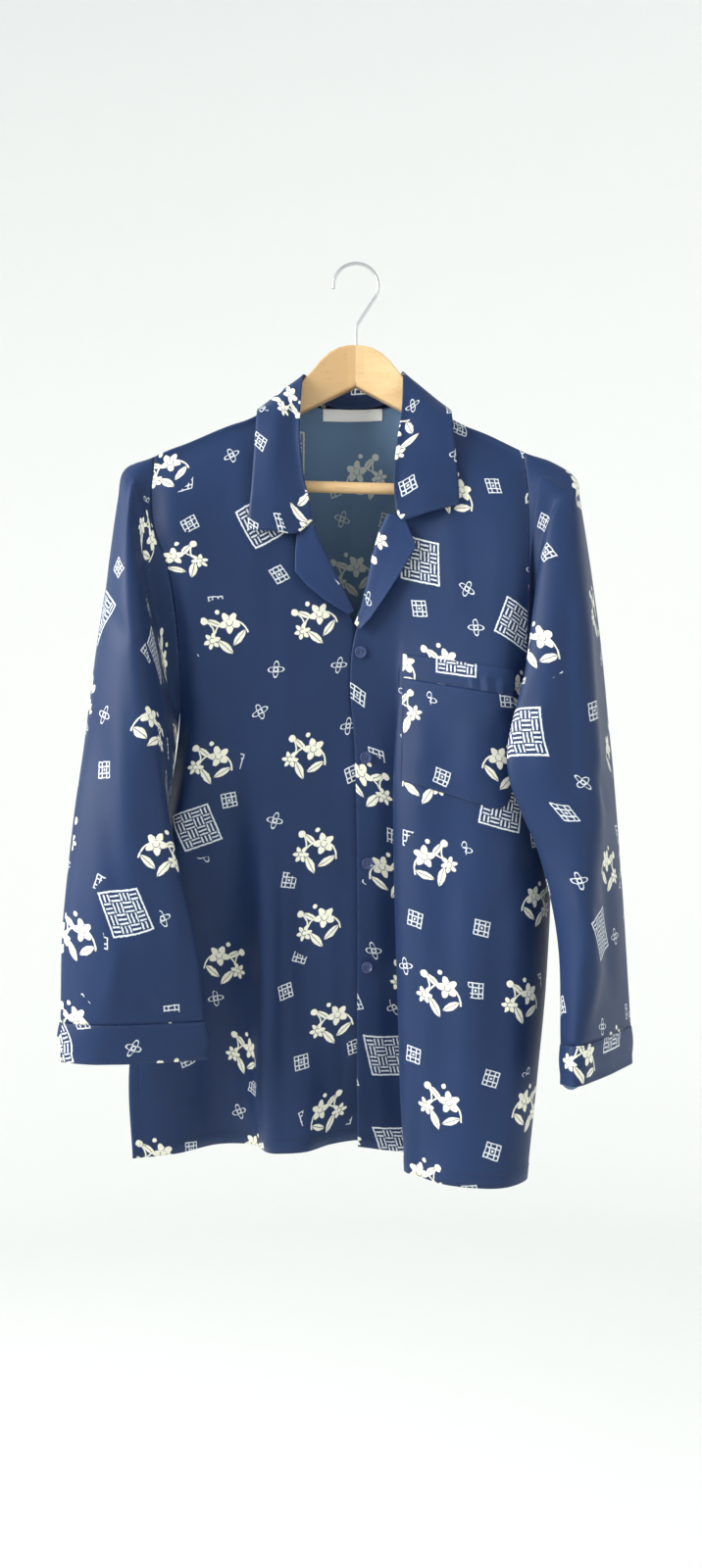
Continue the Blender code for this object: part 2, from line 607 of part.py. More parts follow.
def arm_ring(x, shrink):
    """The rounded section of a hanger arm at x."""
    top = float(arm_height(ARM_TOP, [x])[0])
    low = float(arm_height(ARM_LOW, [x])[0])
    middle, half = (top + low) / 2, (top - low) / 2 * shrink
    deep = ARM_THICK / 2 * shrink
    soft = min(2.5, deep * 0.45)
    y = float(arm_depth(x))
    corners = []
    for sy, sz, order in ((1, 1, 0), (-1, 1, 1), (-1, -1, 0), (1, -1, 1)):
        near = (sy * deep, sz * (half - soft))
        far = (sy * (deep - soft), sz * half)
        mid = (sy * (deep - soft * 0.3), sz * (half - soft * 0.3))
        run = (near, mid, far) if order == 0 else (far, mid, near)
        corners.extend(run)
    return [(x, y + dy, middle + dz) for dy, dz in corners]


def build_hanger():
    bar = bpy.data.meshes.new("trouser_bar")
    work = bmesh.new()
    turned = Matrix.Rotation(math.pi / 2, 4, "Y")
    bmesh.ops.create_cone(work, cap_ends=True, segments=20, radius1=BAR_RADIUS * MM,
                          radius2=BAR_RADIUS * MM, depth=2 * BAR_REACH * MM, matrix=turned)
    work.to_mesh(bar)
    work.free()
    bar_y = float(arm_depth(BAR_REACH - 4))
    rod = add("trouser_bar", bar, BEECH)
    rod.location = (0, bar_y * MM, BAR_HEIGHT * MM)
    rod.rotation_euler = (0, ARM_TILT, 0)
    rod.data.shade_smooth()
    rod.data.set_sharp_from_angle(angle=math.radians(40))
    work = bmesh.new()
    bmesh.ops.create_cone(work, cap_ends=True, segments=20, radius1=(BAR_RADIUS + 0.35) * MM,
                          radius2=(BAR_RADIUS + 0.35) * MM, depth=2 * (BAR_REACH + 0.3) * MM,
                          matrix=turned)
    socket = bpy.data.meshes.new("bar_socket")
    work.to_mesh(socket)
    work.free()
    cutter = add("bar_socket", socket, BEECH)
    cutter.location = rod.location
    cutter.rotation_euler = rod.rotation_euler
    cutter.hide_render = True
    cutter.display_type = "WIRE"
    for side, way in (("left", 1), ("right", -1)):
        stations = [0.15] + list(np.linspace(8, 60, 7)) + list(np.linspace(76, 196, 8))
        work = bmesh.new()
        rings = [arm_ring(way * x, 1.0) for x in stations]
        rings.append(arm_ring(way * (ARM_REACH - 2), 0.86))
        rings.append(arm_ring(way * ARM_REACH, 0.6))
        verts = [[work.verts.new(Vector(p) * MM) for p in points] for points in rings]
        for one, two in zip(verts, verts[1:]):
            for i in range(12):
                j = (i + 1) % 12
                work.faces.new((one[i], one[j], two[j], two[i]))
        work.faces.new(verts[0])
        work.faces.new(verts[-1])
        bmesh.ops.recalc_face_normals(work, faces=work.faces[:])
        mesh = bpy.data.meshes.new(f"hanger_arm_{side}")
        work.to_mesh(mesh)
        work.free()
        made = add(f"hanger_arm_{side}", mesh, BEECH)
        made.data.shade_smooth()
        made.data.set_sharp_from_angle(angle=math.radians(50))
        cut = made.modifiers.new("socket", "BOOLEAN")
        cut.operation = "DIFFERENCE"
        cut.object = cutter
    build_hook()


def build_hook():
    """The wire hook: a short stem, a bend to one side and a round bow open on the other."""
    centre = Vector((0, 0, WIRE / 2 - HOOK_RADIUS))
    points = [Vector((0, 0, STEM_FOOT)), Vector((0, 0, STEM_TOP - 4))]
    points.append(Vector((1.0, 0, STEM_TOP + 0.6)))
    points.append(Vector((3.4, 0, STEM_TOP + 5)))
    for angle in range(-33, 197, 10):
        turn = math.radians(angle)
        points.append(centre + HOOK_RADIUS * Vector((math.cos(turn), 0, math.sin(turn))))
    curve = bpy.data.curves.new("hanger_hook", "CURVE")
    curve.dimensions = "3D"
    curve.bevel_depth = WIRE / 2 * MM
    curve.bevel_resolution = 3
    curve.use_fill_caps = True
    spline = curve.splines.new("POLY")
    spline.points.add(len(points) - 1)
    for slot, point in zip(spline.points, points):
        slot.co = (*(point * MM), 1)
    add("hanger_hook", curve, STEEL)


build_buttons(build_shirt())
build_hanger()
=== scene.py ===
"""A printed pyjama shirt on its beech hanger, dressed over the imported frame.

Sizes are in millimetres until the meshes are made, and pieces lie in the frame's own
axes: +X to the viewer's right, -Y towards the viewer, +Z up, origin in the hook's bow.
"""

import logging
import math
from dataclasses import dataclass, field
from enum import Enum

import bmesh
import bpy
import numpy as np
from mathutils import Matrix, Vector
from mathutils.bvhtree import BVHTree


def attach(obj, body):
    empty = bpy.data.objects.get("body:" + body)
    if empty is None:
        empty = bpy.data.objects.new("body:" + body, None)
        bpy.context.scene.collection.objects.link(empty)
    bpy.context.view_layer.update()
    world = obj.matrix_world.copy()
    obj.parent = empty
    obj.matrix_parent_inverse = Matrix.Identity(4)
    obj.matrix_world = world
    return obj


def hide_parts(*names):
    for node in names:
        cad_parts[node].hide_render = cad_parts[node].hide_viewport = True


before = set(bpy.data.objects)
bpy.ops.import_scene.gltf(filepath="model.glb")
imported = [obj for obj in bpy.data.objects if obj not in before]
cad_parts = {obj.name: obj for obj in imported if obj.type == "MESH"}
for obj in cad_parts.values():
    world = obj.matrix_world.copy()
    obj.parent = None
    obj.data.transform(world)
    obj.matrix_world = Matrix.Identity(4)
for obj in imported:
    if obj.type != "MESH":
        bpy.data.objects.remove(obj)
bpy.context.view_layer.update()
LOG = logging.getLogger("pyjama_shirt")
MM = 0.001
BODY = "root"

WIRE = 3.1
HOOK_RADIUS = 22.0
STEM_FOOT = -79.0

ARM_SWEEP = 0.2
ARM_TILT = 0.028
ARM_TOP = ((0, 79.5), (15, 82), (30, 92), (47, 113), (62, 128), (76, 142), (92, 156),
           (128, 173.5), (160, 190), (190, 204.5), (203, 213))

# The cloth's way over an arm, from its crest: how far out, and how high over the arm's top.
OVER_ARM = ((0.0, 2.5), (7.3, 0.8), (9.4, -8.0))

NECK_HALF = 62.0
SHOULDER_LEFT = 161.0
SHOULDER_RIGHT = 192.0

# A row is one level of a front, from its free edge to the armhole or the side seam:
# name, height at the edge, height at the side, sag between, then x and depth (y) of ten
# points. The third and fourth points are the trough and the ridge of the pleat that
# hangs beside the button strip.
FRONT_LEFT = (
    ("chest", -177.5, -233.5, 0, (49, 58, 67, 75, 88, 105, 123, 138, 152, 163),
     (-30, -33, -36, -38, -41, -44, -47, -49, -50, -49)),
    ("bar", -223, -271, 0, (48, 54, 60, 69, 83, 101, 121, 138, 151, 163.5),
     (-43, -44, -45, -46, -48, -51, -55, -58, -59, -56)),
    ("gorge", -267.5, -317, 0, (30, 39, 50, 61, 76, 97, 118, 135, 150, 162.5),
     (-42, -43, -44, -46, -49, -53, -58, -62, -63, -59)),
    ("lapel", -321, -364, 0, (15.5, 28, 42, 53, 70, 93, 116, 134, 149, 161.5),
     (-37, -39, -42, -45, -49, -54, -60, -64, -64, -58)),
    ("break", -369.5, -409.5, 0, (-1.5, 16, 37, 47, 64, 90, 115, 133, 148, 161),
     (-33, -34, -37, -41, -47, -55, -62, -66, -64, -53)),
    ("underarm", -416.5, -454.5, 0, (-5.5, 15, 39, 42, 60, 89, 116, 136, 153, 166.5),
     (-32, -32, -33, -42, -50, -59, -66, -68, -60, -38)),
    ("button 2", -483, -506, 0, (-1, 18, 43, 38, 57, 87, 117, 140, 161, 174.5),
     (-31, -30, -27, -45, -55, -64, -71, -69, -52, -22)),
    ("button 3", -585, -589, 4, (1, 20, 46, 38.5, 59, 89, 122, 156, 182, 187),
     (-27, -24, -18, -47, -60, -70, -77, -70, -42, -8)),
    ("button 4", -686, -687, 4, (1.5, 21, 50, 41.5, 62, 90, 120, 154, 180, 184.5),
     (-20, -16, -8, -49, -64, -76, -83, -75, -44, -6)),
    ("low", -785, -784, 5, (1, 22, 54, 44.5, 62, 88, 118, 149, 171, 174),
     (-10, -5, 2, -50, -66, -80, -87, -79, -50, -10)),
    ("hem", -868, -881.5, 6, (2, 24, 60, 46, 62, 84, 118, 141, 160, 160),
     (4, 10, 12, -50, -66, -83, -90, -85, -60, -18)),
)
FRONT_RIGHT = (
    ("chest", -177.5, -237, 0, (-57, -68, -81, -95, -110, -126, -144, -161, -177, -194),
     (-30, -33, -36, -38, -41, -43, -46, -49, -52, -50)),
    ("bar", -223, -266.5, 0, (-58.5, -67, -78, -93, -109, -126, -142, -159, -176, -191.5),
     (-43, -44, -45, -46, -48, -50, -53, -57, -59, -55)),
    ("gorge", -267.5, -291.5, 0, (-47.5, -57, -68, -84, -102, -119, -136, -152, -167, -182.5),
     (-42, -43, -45, -46, -48, -51, -54, -58, -60, -57)),
    ("lapel", -321, -322, 0, (-21, -32, -47, -65, -83, -103, -121, -140, -158, -174.5),
     (-38, -40, -42, -44, -46, -49, -53, -57, -60, -55)),
    ("break", -370.5, -376, 0, (4.5, -11, -30, -52, -73, -94, -115, -135, -153, -168.5),
     (-28, -33, -38, -42, -45, -48, -51, -55, -57, -50)),
    ("underarm", -418, -440, 0, (20, -1, -24, -47, -70, -93, -114, -134, -152, -168),
     (-27, -28, -33, -38, -42, -44, -46, -50, -50, -38)),
    ("button 2", -485, -496, 0, (21, 0, -24, -47, -70, -91, -115, -139, -160, -176),
     (-25, -26, -29, -34, -39, -41, -40, -43, -42, -20)),
    ("button 3", -587.5, -578, 0, (23, 2, -23, -47, -68, -89, -116, -147, -176, -194),
     (-20, -21, -23, -28, -33, -37, -28, -28, -32, -6)),
    ("button 4", -689.5, -677.5, 0, (25, 2, -23, -47, -67, -89, -108, -143, -181, -208),
     (-11, -12, -13, -19, -27, -32, -12, -6, -22, -4)),
    ("low", -787.5, -787, 0, (26, 3, -23, -47, -68, -89, -108, -143, -185, -221),
     (2, 4, 2, -12, -18, -22, 4, 12, -10, -14)),
    ("hem", -867, -874, 1, (27, 1, -26, -48, -70, -86, -103, -139, -176, -217),
     (22, 30, 17, -8, -12, -6, 27, 32, -2, -18)),
)
UNDERARM_LEVEL = 8
ARMHOLE_DEPTH = 33.0

# A row is one level of the back: the row of the fronts that it meets at the side seams,
# then height and depth at its middle.
BACK = ((1, -166, 25), (2, -215, 28), (3, -262, 31), (4, -315, 34), (5, -365, 36),
        (6, -425, 39), (7, -490, 42), (8, -588, 46), (9, -688, 50), (10, -787, 54),
        (11, -874, 56))
BACK_FOLDS = ((0.27, 0.07, 9.0), (0.52, 0.06, -7.0), (0.75, 0.07, 8.0))
BACK_NECK = ((-61.5, -10, -123.6), (-60, -1, -124.8), (-54, 6, -130), (-42, 14, -134.5),
             (-23, 20, -137.8), (-2, 22, -138.5), (19, 20, -137.8), (38, 14, -134.5),
             (51, 6, -131.5), (60, -1, -128.2), (61.5, -10, -127))

# A row is one ring of a sleeve: name, height at the overarm and at the underarm, then x
# and depth of eight points: overarm, outer front, front fold, inner front, underarm,
# inner back, back, outer back. RING_DROP says how far each point has come down.
RING_DROP = (0.0, 0.05, 0.11, 0.38, 1.0, 0.72, 0.34, 0.03)
SLEEVE_RIGHT = (
    ("tip", -211, -452, (-220, -213, -207, -197, -171, -184, -198, -215),
     (-42, -54, -61, -60, -33, -8, -14, -30)),
    ("head", -243, -465, (-226, -216, -209, -196, -172, -189, -206, -220),
     (-48, -66, -69, -62, -37, -2, -8, -28)),
    ("upper", -311, -487, (-234, -218, -203, -188, -173, -196, -217, -233),
     (-56, -82, -84, -64, -43, 3, 2, -20)),
    ("biceps", -392, -515, (-244, -218, -195, -180, -175.5, -203, -231, -245),
     (-62, -91, -90, -69, -49, 0, 4, -22)),
    ("elbow", -488, -557, (-254, -218, -184, -177, -183, -211, -240, -258),
     (-66, -96, -92, -70, -50, -14, -8, -28)),
    ("forearm", -576, -617, (-263, -219, -169, -172, -187, -212, -244, -265),
     (-72, -98, -88, -67, -53, -36, -30, -42)),
    ("wrist", -656, -682, (-270, -222, -153, -160, -181, -209, -242, -268),
     (-77, -97, -80, -65, -57, -50, -46, -54)),
    ("end", -732, -734, (-271, -225, -146, -155, -178, -208, -240, -268),
     (-80, -94, -72, -61, -57, -56, -57, -65)),
)
SLEEVE_LEFT = (
    ("cap", -202.5, -460, (186, 180, 173, 167, 173, 172, 179, 184),
     (-37, -47, -53, -56, -35, -8, -14, -23)),
    ("tip", -220, -466, (209, 201, 186, 171, 175, 183, 195, 207),
     (-42, -55, -60, -58, -36, -8, -14, -30)),
    ("head", -244, -473, (213, 203, 180, 170, 177, 190, 206, 214),
     (-44, -66, -69, -58, -32, -2, -6, -26)),
    ("upper", -310, -496, (222, 204, 169, 168, 181, 202, 222, 227),
     (-48, -84, -80, -58, -24, 8, 8, -14)),
    ("biceps", -387, -524, (231, 204, 157, 168, 187, 211, 233, 238),
     (-48, -100, -94, -62, -24, 10, 10, -12)),
    ("elbow", -484, -558, (240, 208, 139, 164, 193, 220, 242, 246),
     (-46, -114, -106, -72, -26, 6, 8, -14)),
    ("forearm", -574, -609, (248, 211, 170, 180, 201, 228, 246, 251),
     (-44, -120, -104, -74, -36, -6, -4, -20)),
    ("wrist", -655, -680, (254, 210, 186, 190, 208, 231, 249, 256),
     (-42, -122, -108, -78, -46, -20, -14, -24)),
    ("end", -744, -762, (260, 205, 187, 190, 204, 225, 246, 260),
     (-36, -120, -112, -86, -58, -34, -20, -24)),
)
CUFF_DEPTH = 36.0
CUFF_DROP = 0.5

# A row is one station of the collar: its foot on the neck seam, its rolled fold and its
# outer edge.
COLLAR = (
    ((-47, -45.5, -262), (-42, -51, -261.5), (-102.5, -54, -270)),
    ((-51, -46, -240), (-46, -52, -238), (-101, -54, -250)),
    ((-55, -45, -220), (-50.5, -51, -217), (-99, -53, -230)),
    ((-59.5, -36, -184), (-54, -46, -180), (-96.5, -49, -193)),
    ((-60.5, -27, -150), (-54, -33, -147), (-95, -38, -158)),
    ((-58.5, -19, -123.5), (-52.5, -22, -121), (-94.5, -26, -149.5)),
    ((-58, -11, -120), (-51, -12, -111.5), (-92.5, -14, -146)),
    ((-57, -1, -120.5), (-48, 2, -110), (-89, 5, -149.5)),
    ((-50.5, 5.5, -125.5), (-42.5, 13, -108.5), (-80, 17, -157)),
    ((-39, 13, -130.5), (-29, 23, -108), (-54, 29, -164)),
    ((-22, 19.5, -135), (-15, 28, -107.5), (-27, 34, -169)),
    ((-2, 21.5, -136), (-2, 30, -107), (-2, 37, -171)),
    ((19, 19.5, -135), (12, 28, -107.5), (23, 34, -169)),
    ((35, 13, -130.5), (26, 23, -108.5), (50, 29, -165)),
    ((47.5, 5.5, -126.5), (38.5, 13.5, -109), (76, 19, -159.5)),
    ((56.5, -1, -122), (43.5, 2, -108), (85, 7, -150)),
    ((58, -11, -121.5), (46, -12, -108.8), (88.5, -14, -147.5)),
    ((58.5, -19, -125), (46, -21.5, -118.5), (91, -26.5, -150)),
    ((57, -27, -152), (44.5, -33, -150), (92, -38, -160)),
    ((51, -36, -184), (40, -44, -182), (94, -48, -190)),
    ((46, -45, -212), (37, -51, -208), (96, -52, -216)),
    ((44, -46, -232), (36.5, -52, -229), (97, -55, -232)),
    ((43, -46, -251.5), (38.5, -52, -252.5), (97.5, -55, -246.5)),
)
COLLAR_BULGE = 3.5

# The lower ends of the collar: the notch, where a lapel comes out from under it, and a
# point between the notch and the outer corner.
COLLAR_ENDS = (
    ((-56.7, -54, -273.5), (-79, -56, -271.5)),
    ((45.3, -54.5, -260.6), (71, -57, -253.5)),
)

# A row is one level of a lapel: its rolled edge, its outer edge, and how wide and how
# deep its facing turns in behind the roll.
LAPEL_LEFT = (
    ((31.3, -51, -254.5), (46, -50.5, -258.5), (8, 13)),
    ((28.5, -50.5, -260), (50.5, -52, -270), (8.5, 13)),
    ((24, -50, -270), (57, -54, -285.5), (9, 12.5)),
    ((17.5, -48, -291), (43, -53, -309.5), (8, 12)),
    ((12, -45, -316), (29, -49.5, -331), (7, 11)),
    ((5.5, -42, -341), (13.5, -45.5, -353), (3.5, 9.6)),
    ((-0.8, -39.5, -357.5), (3.2, -42, -363.5), (2.5, 7.5)),
)
LAPEL_RIGHT = (
    ((-40.5, -50.5, -264.5), (-56, -50, -271.5), (9, 12)),
    ((-36.5, -50, -277), (-57.5, -51.5, -291), (9, 12)),
    ((-29, -49, -294), (-58, -51.5, -309), (9, 12)),
    ((-21.5, -47, -309), (-46, -50.5, -323), (8, 12)),
    ((-13.5, -45, -324), (-29, -48.5, -336), (6, 11)),
    ((-6.5, -43, -337), (-16, -46, -344), (4, 9)),
    ((-2.5, -41, -346), (-7, -43.5, -349), (1.5, 1.5)),
)

POCKET_TOP = ((45, -409.5), (147.5, -429))
POCKET_FOOT = ((43, -507), (143.5, -534))
POCKET_ROUND = 14.0
BAND_DEPTH = 23.0

BUTTONS = ((4.5, -384), (9.5, -485), (11, -587), (10.5, -688))
BUTTON_RADIUS = 5.7
BUTTON_THICK = 2.4

LABEL_SIZE = (60.0, 12.0)
LABEL_TOP = -136.5

# The label is sewn over the neck seam, and the back lies behind it from here down.
LABEL_SEAM = -140.0

# How far in from a free edge the cloth looks rubbed, and how high the right side's vent is.
RIM = 5.0
VENT = 105.0

# Pieces are laid on a sheet from this depth, well before the shirt.
VIEWER = -400.0

# Half the width over which the print's ink fades at a mark's edge.
INK_EDGE = 0.25

# How far the pocket's and its band's middle surfaces lie out from the front's.
POCKET_LIFT = 1.35


def through(stops: np.ndarray, values: np.ndarray, at: np.ndarray) -> np.ndarray:
    """Finds points on the smooth curve that passes through one value at each stop.

    Args:
        stops: rising numbers, one for each value.
        values: the values, which may be arrays of any one shape.
        at: the numbers to find the curve's points at.

    Returns:
        The curve's value at each number.
    """
    stops = np.asarray(stops, float)
    values = np.asarray(values, float)
    at = np.asarray(at, float)
    slope = np.gradient(values, stops, axis=0)
    place = np.clip(np.searchsorted(stops, at, side="right") - 1, 0, len(stops) - 2)
    shape = (-1,) + (1,) * (values.ndim - 1)
    span = (stops[place + 1] - stops[place]).reshape(shape)
    t = (at - stops[place]).reshape(shape) / span
    rise = t * t * (3 - 2 * t)
    return (
        (1 - rise) * values[place]
        + rise * values[place + 1]
        + t * (1 - t) ** 2 * span * slope[place]
        + t * t * (t - 1) * span * slope[place + 1]
    )


def smoothstep(low: float, high: float, value: np.ndarray) -> np.ndarray:
    """Returns 0 below low, 1 above high and a smooth rise between."""
    t = np.clip((np.asarray(value, float) - low) / (high - low), 0, 1)
    return t * t * (3 - 2 * t)


def refine(grid: np.ndarray, down: np.ndarray, across: np.ndarray) -> np.ndarray:
    """Reads a coarse grid of points at finer places.

    Args:
        grid: rows by columns by 3.
        down: places along the rows, counted in rows.
        across: places along the columns, counted in columns.

    Returns:
        The finer grid, smooth both ways.
    """
    tall = through(np.arange(len(grid)), grid, down).transpose(1, 0, 2)
    return through(np.arange(len(tall)), tall, across).transpose(1, 0, 2)


def straight(values: np.ndarray, at: np.ndarray) -> np.ndarray:
    """Finds points on the straight lines that join a row of values.

    Args:
        values: the values, which may be arrays of any one shape.
        at: places along the row, counted in values.

    Returns:
        The value at each place.
    """
    place = np.clip(np.floor(at).astype(int), 0, len(values) - 2)
    share = (np.asarray(at) - place).reshape((-1,) + (1,) * (values.ndim - 1))
    return values[place] * (1 - share) + values[place + 1] * share


def normals(grid: np.ndarray, looped: bool) -> np.ndarray:
    """Returns the unit normal at each point of a grid, down crossed with across."""
    down = np.gradient(grid, axis=0)
    if looped:
        across = np.roll(grid, -1, 1) - np.roll(grid, 1, 1)
    else:
        across = np.gradient(grid, axis=1)
    way = np.cross(down, across)
    return way / np.maximum(np.linalg.norm(way, axis=-1, keepdims=True), 1e-9)


def unit(ways: np.ndarray) -> np.ndarray:
    """Returns ways of length 1."""
    return ways / np.linalg.norm(ways, axis=-1, keepdims=True)


def lengths(points: np.ndarray, axis: int = 0) -> np.ndarray:
    """Returns each point's distance along its line, where lines run along the axis."""
    steps = np.linalg.norm(np.diff(points, axis=axis), axis=-1)
    return np.insert(np.cumsum(steps, axis), 0, 0.0, axis)


def between(at: float, run: np.ndarray, points: np.ndarray) -> np.ndarray:
    """Returns what lies at a distance along a line whose points lie at these distances."""
    return np.array([np.interp(at, run, points[:, k]) for k in range(3)])


def quads(rows: int, columns: int, looped: bool = False) -> np.ndarray:
    """Returns the corners of a grid's faces, rows by columns by 4."""
    index = np.arange(rows * columns).reshape(rows, columns)
    here, right = index[:, :-1], index[:, 1:]
    if looped:
        here, right = index, np.roll(index, -1, 1)
    return np.stack([here[:-1], here[1:], right[1:], right[:-1]], -1)


def tube(rings: int, count: int, first: int = 0) -> list:
    """Returns the faces between rings of this many points, numbered from the first."""
    faces = []
    for start in range(first, first + (rings - 1) * count, count):
        for k in range(count):
            a, b = start + k, start + (k + 1) % count
            faces.append((a, b, b + count, a + count))
    return faces


def smooth_mesh(name: str, points: object, faces: list) -> bpy.types.Mesh:
    """Makes a mesh with smooth shading from points in metres and faces."""
    mesh = bpy.data.meshes.new(name)
    mesh.from_pydata(points, [], faces)
    mesh.polygons.foreach_set("use_smooth", [True] * len(mesh.polygons))
    mesh.update()
    return mesh


def linked(name: str, data: bpy.types.ID) -> bpy.types.Object:
    """Makes an object of this data and puts it into the scene."""
    made = bpy.data.objects.new(name, data)
    bpy.context.scene.collection.objects.link(made)
    return made


@dataclass(frozen=True)
class Crease:
    """A soft fold pressed into a sheet, where the viewer sees it.

    Args:
        path: its line as (x, z) points, seen from the front.
        width: half its width.
        height: how far it stands out, negative for a trough.
        ends: share of its length over which each end fades.
    """

    path: tuple
    width: float
    height: float
    ends: float = 0.3

    def lift(self, grid: np.ndarray) -> np.ndarray:
        """Works out the crease's relief.

        Args:
            grid: rows by columns by 3 points.

        Returns:
            How far each of them is moved out.
        """
        line = np.asarray(self.path, float)
        reached = lengths(line)
        flat = grid[..., [0, 2]]
        nearest = np.full(flat.shape[:2], 1e9)
        along = np.zeros(flat.shape[:2])
        for start, end, run, step in zip(line, line[1:], reached, np.diff(reached)):
            share = np.clip(((flat - start) @ (end - start)) / step**2, 0, 1)
            away = np.linalg.norm(flat - start - share[..., None] * (end - start), axis=-1)
            closer = away < nearest
            nearest = np.where(closer, away, nearest)
            along = np.where(closer, (run + share * step) / reached[-1], along)
        fade = smoothstep(0, self.ends, along) * smoothstep(0, self.ends, 1 - along)
        return self.height * fade * np.exp(-((nearest / self.width) ** 2))


@dataclass
class Sheet:
    """One sewn piece of cloth, as a grid of points in its middle surface.

    Args:
        name: the piece's name.
        grid: rows by columns by 3 points.
        looped: whether its last column joins its first, as on a tube.
        outward: 1 where down crossed with across points out of the garment, else -1.
        thick: the wall.
        origin: where the print starts on it, in print millimetres.
        turn: how far the cloth's grain is turned on it, in degrees.
    """

    name: str
    grid: np.ndarray
    looped: bool = False
    outward: int = 1
    thick: float = 0.9
    origin: tuple = (0.0, 0.0)
    turn: float = 0.0

    def out(self) -> np.ndarray:
        """Returns the normal at each point, out of the garment."""
        return normals(self.grid, self.looped) * self.outward

    def press(self, creases: tuple, front_only: bool = False) -> "Sheet":
        """Presses creases into the sheet.

        Args:
            creases: the creases.
            front_only: whether they fade out where the sheet faces away from the viewer.

        Returns:
            This sheet.
        """
        out = self.out()
        seen = smoothstep(-0.1, 0.5, -out[..., 1]) if front_only else 1.0
        total = sum((crease.lift(self.grid) for crease in creases), np.zeros(self.grid.shape[:2]))
        self.grid = self.grid + out * (total * seen)[..., None]
        return self

    def turn_hem(self, hem: float) -> "Sheet":
        """Thickens the sheet's foot, where a hem of this depth is turned and sewn."""
        run = lengths(self.grid[::-1])[::-1]
        lift = 0.45 * (1 - smoothstep(hem - 1.5, hem + 0.5, run))
        lift -= 0.35 * np.exp(-(((run - hem - 0.6) / 1.4) ** 2))
        self.grid = self.grid + self.out() * lift[..., None]
        return self

    def draw_in(self, gap: float, *sides: str) -> "Sheet":
        """Draws edges back along the surface, which opens their seams.

        Args:
            gap: how far.
            sides: first row, last row, first column or last column.

        Returns:
            This sheet.
        """
        for side in sides:
            self.grid = self.grid.copy()
            rows = self.grid.transpose(1, 0, 2) if "column" in side else self.grid
            edge, inner = (-1, -2) if "last" in side else (0, 1)
            way = rows[inner] - rows[edge]
            long = np.linalg.norm(way, axis=-1)[..., None]
            rows[edge] += way / long * np.minimum(gap, 0.8 * long)
        return self

    def cut(self) -> np.ndarray:
        """Returns the flat cloth's coordinates, from lengths measured along the grid."""
        grid = np.concatenate([self.grid, self.grid[:, :1]], 1) if self.looped else self.grid
        u, v = lengths(grid, 1), lengths(grid)
        start = grid.shape[1] // 2
        v = v * 0.35 + v.mean(axis=1, keepdims=True) * 0.65
        u = (u - u[:, start : start + 1]) * self.outward
        angle = math.radians(self.turn)
        flat_u = u * math.cos(angle) - v * math.sin(angle) + self.origin[0]
        flat_v = u * math.sin(angle) + v * math.cos(angle) + self.origin[1]
        return np.stack([flat_u, -flat_v], -1)

    def edge(self, side: str, inset: float) -> tuple:
        """Finds a line that runs along an edge of the sheet, some way in from it.

        Args:
            side: first row, last row, first column or last column.
            inset: how far in from that edge.

        Returns:
            The line's points and the outward normals there.
        """
        grid, out = self.grid, self.out()
        if "column" in side:
            grid, out = grid.transpose(1, 0, 2), out.transpose(1, 0, 2)
        if "last" in side:
            grid, out = grid[::-1], out[::-1]
        run = lengths(grid)
        columns = range(grid.shape[1])
        points = [between(inset, run[:, column], grid[:, column]) for column in columns]
        ways = [between(inset, run[:, column], out[:, column]) for column in columns]
        return np.array(points), np.array(ways)

    def rim(self) -> np.ndarray:
        """Returns how near each point is to a free edge: 1 on it, 0 well in from it."""
        down, across = lengths(self.grid), lengths(self.grid, 1)
        near = np.minimum(down, down[-1:] - down)
        if not self.looped:
            near = np.minimum(near, np.minimum(across, across[:, -1:] - across))
        return 1 - smoothstep(0, RIM, near)

    def build(self, outside: bpy.types.Material, inside: bpy.types.Material) -> bpy.types.Object:
        """Makes the sheet's object, with its own cloth coordinates and its two faces.

        Args:
            outside: the look of its outward face and its edges.
            inside: the look of its other face.

        Returns:
            The object.
        """
        grid, flat = self.grid, self.cut()
        corners = quads(*grid.shape[:2], self.looped)
        wide = corners.shape[1]
        here, right = flat[:, :wide], flat[:, 1 : wide + 1]
        spots = np.stack([here[:-1], here[1:], right[1:], right[:-1]], 2)
        if self.outward < 0:
            corners, spots = corners[..., ::-1], spots[:, :, ::-1]
        mesh = smooth_mesh(self.name, grid.reshape(-1, 3) * MM, corners.reshape(-1, 4).tolist())
        layer = mesh.uv_layers.new(name="cloth")
        layer.uv.foreach_set("vector", (spots.reshape(-1, 2) * MM).ravel())
        rim = mesh.attributes.new("rim", "FLOAT", "POINT")
        rim.data.foreach_set("value", self.rim().ravel())
        for look in (outside, inside):
            mesh.materials.append(look)
        made = linked(self.name, mesh)
        wall = made.modifiers.new("wall", "SOLIDIFY")
        wall.thickness = self.thick * MM
        wall.offset = 0.0
        wall.use_even_offset = False
        wall.material_offset = 1
        return made


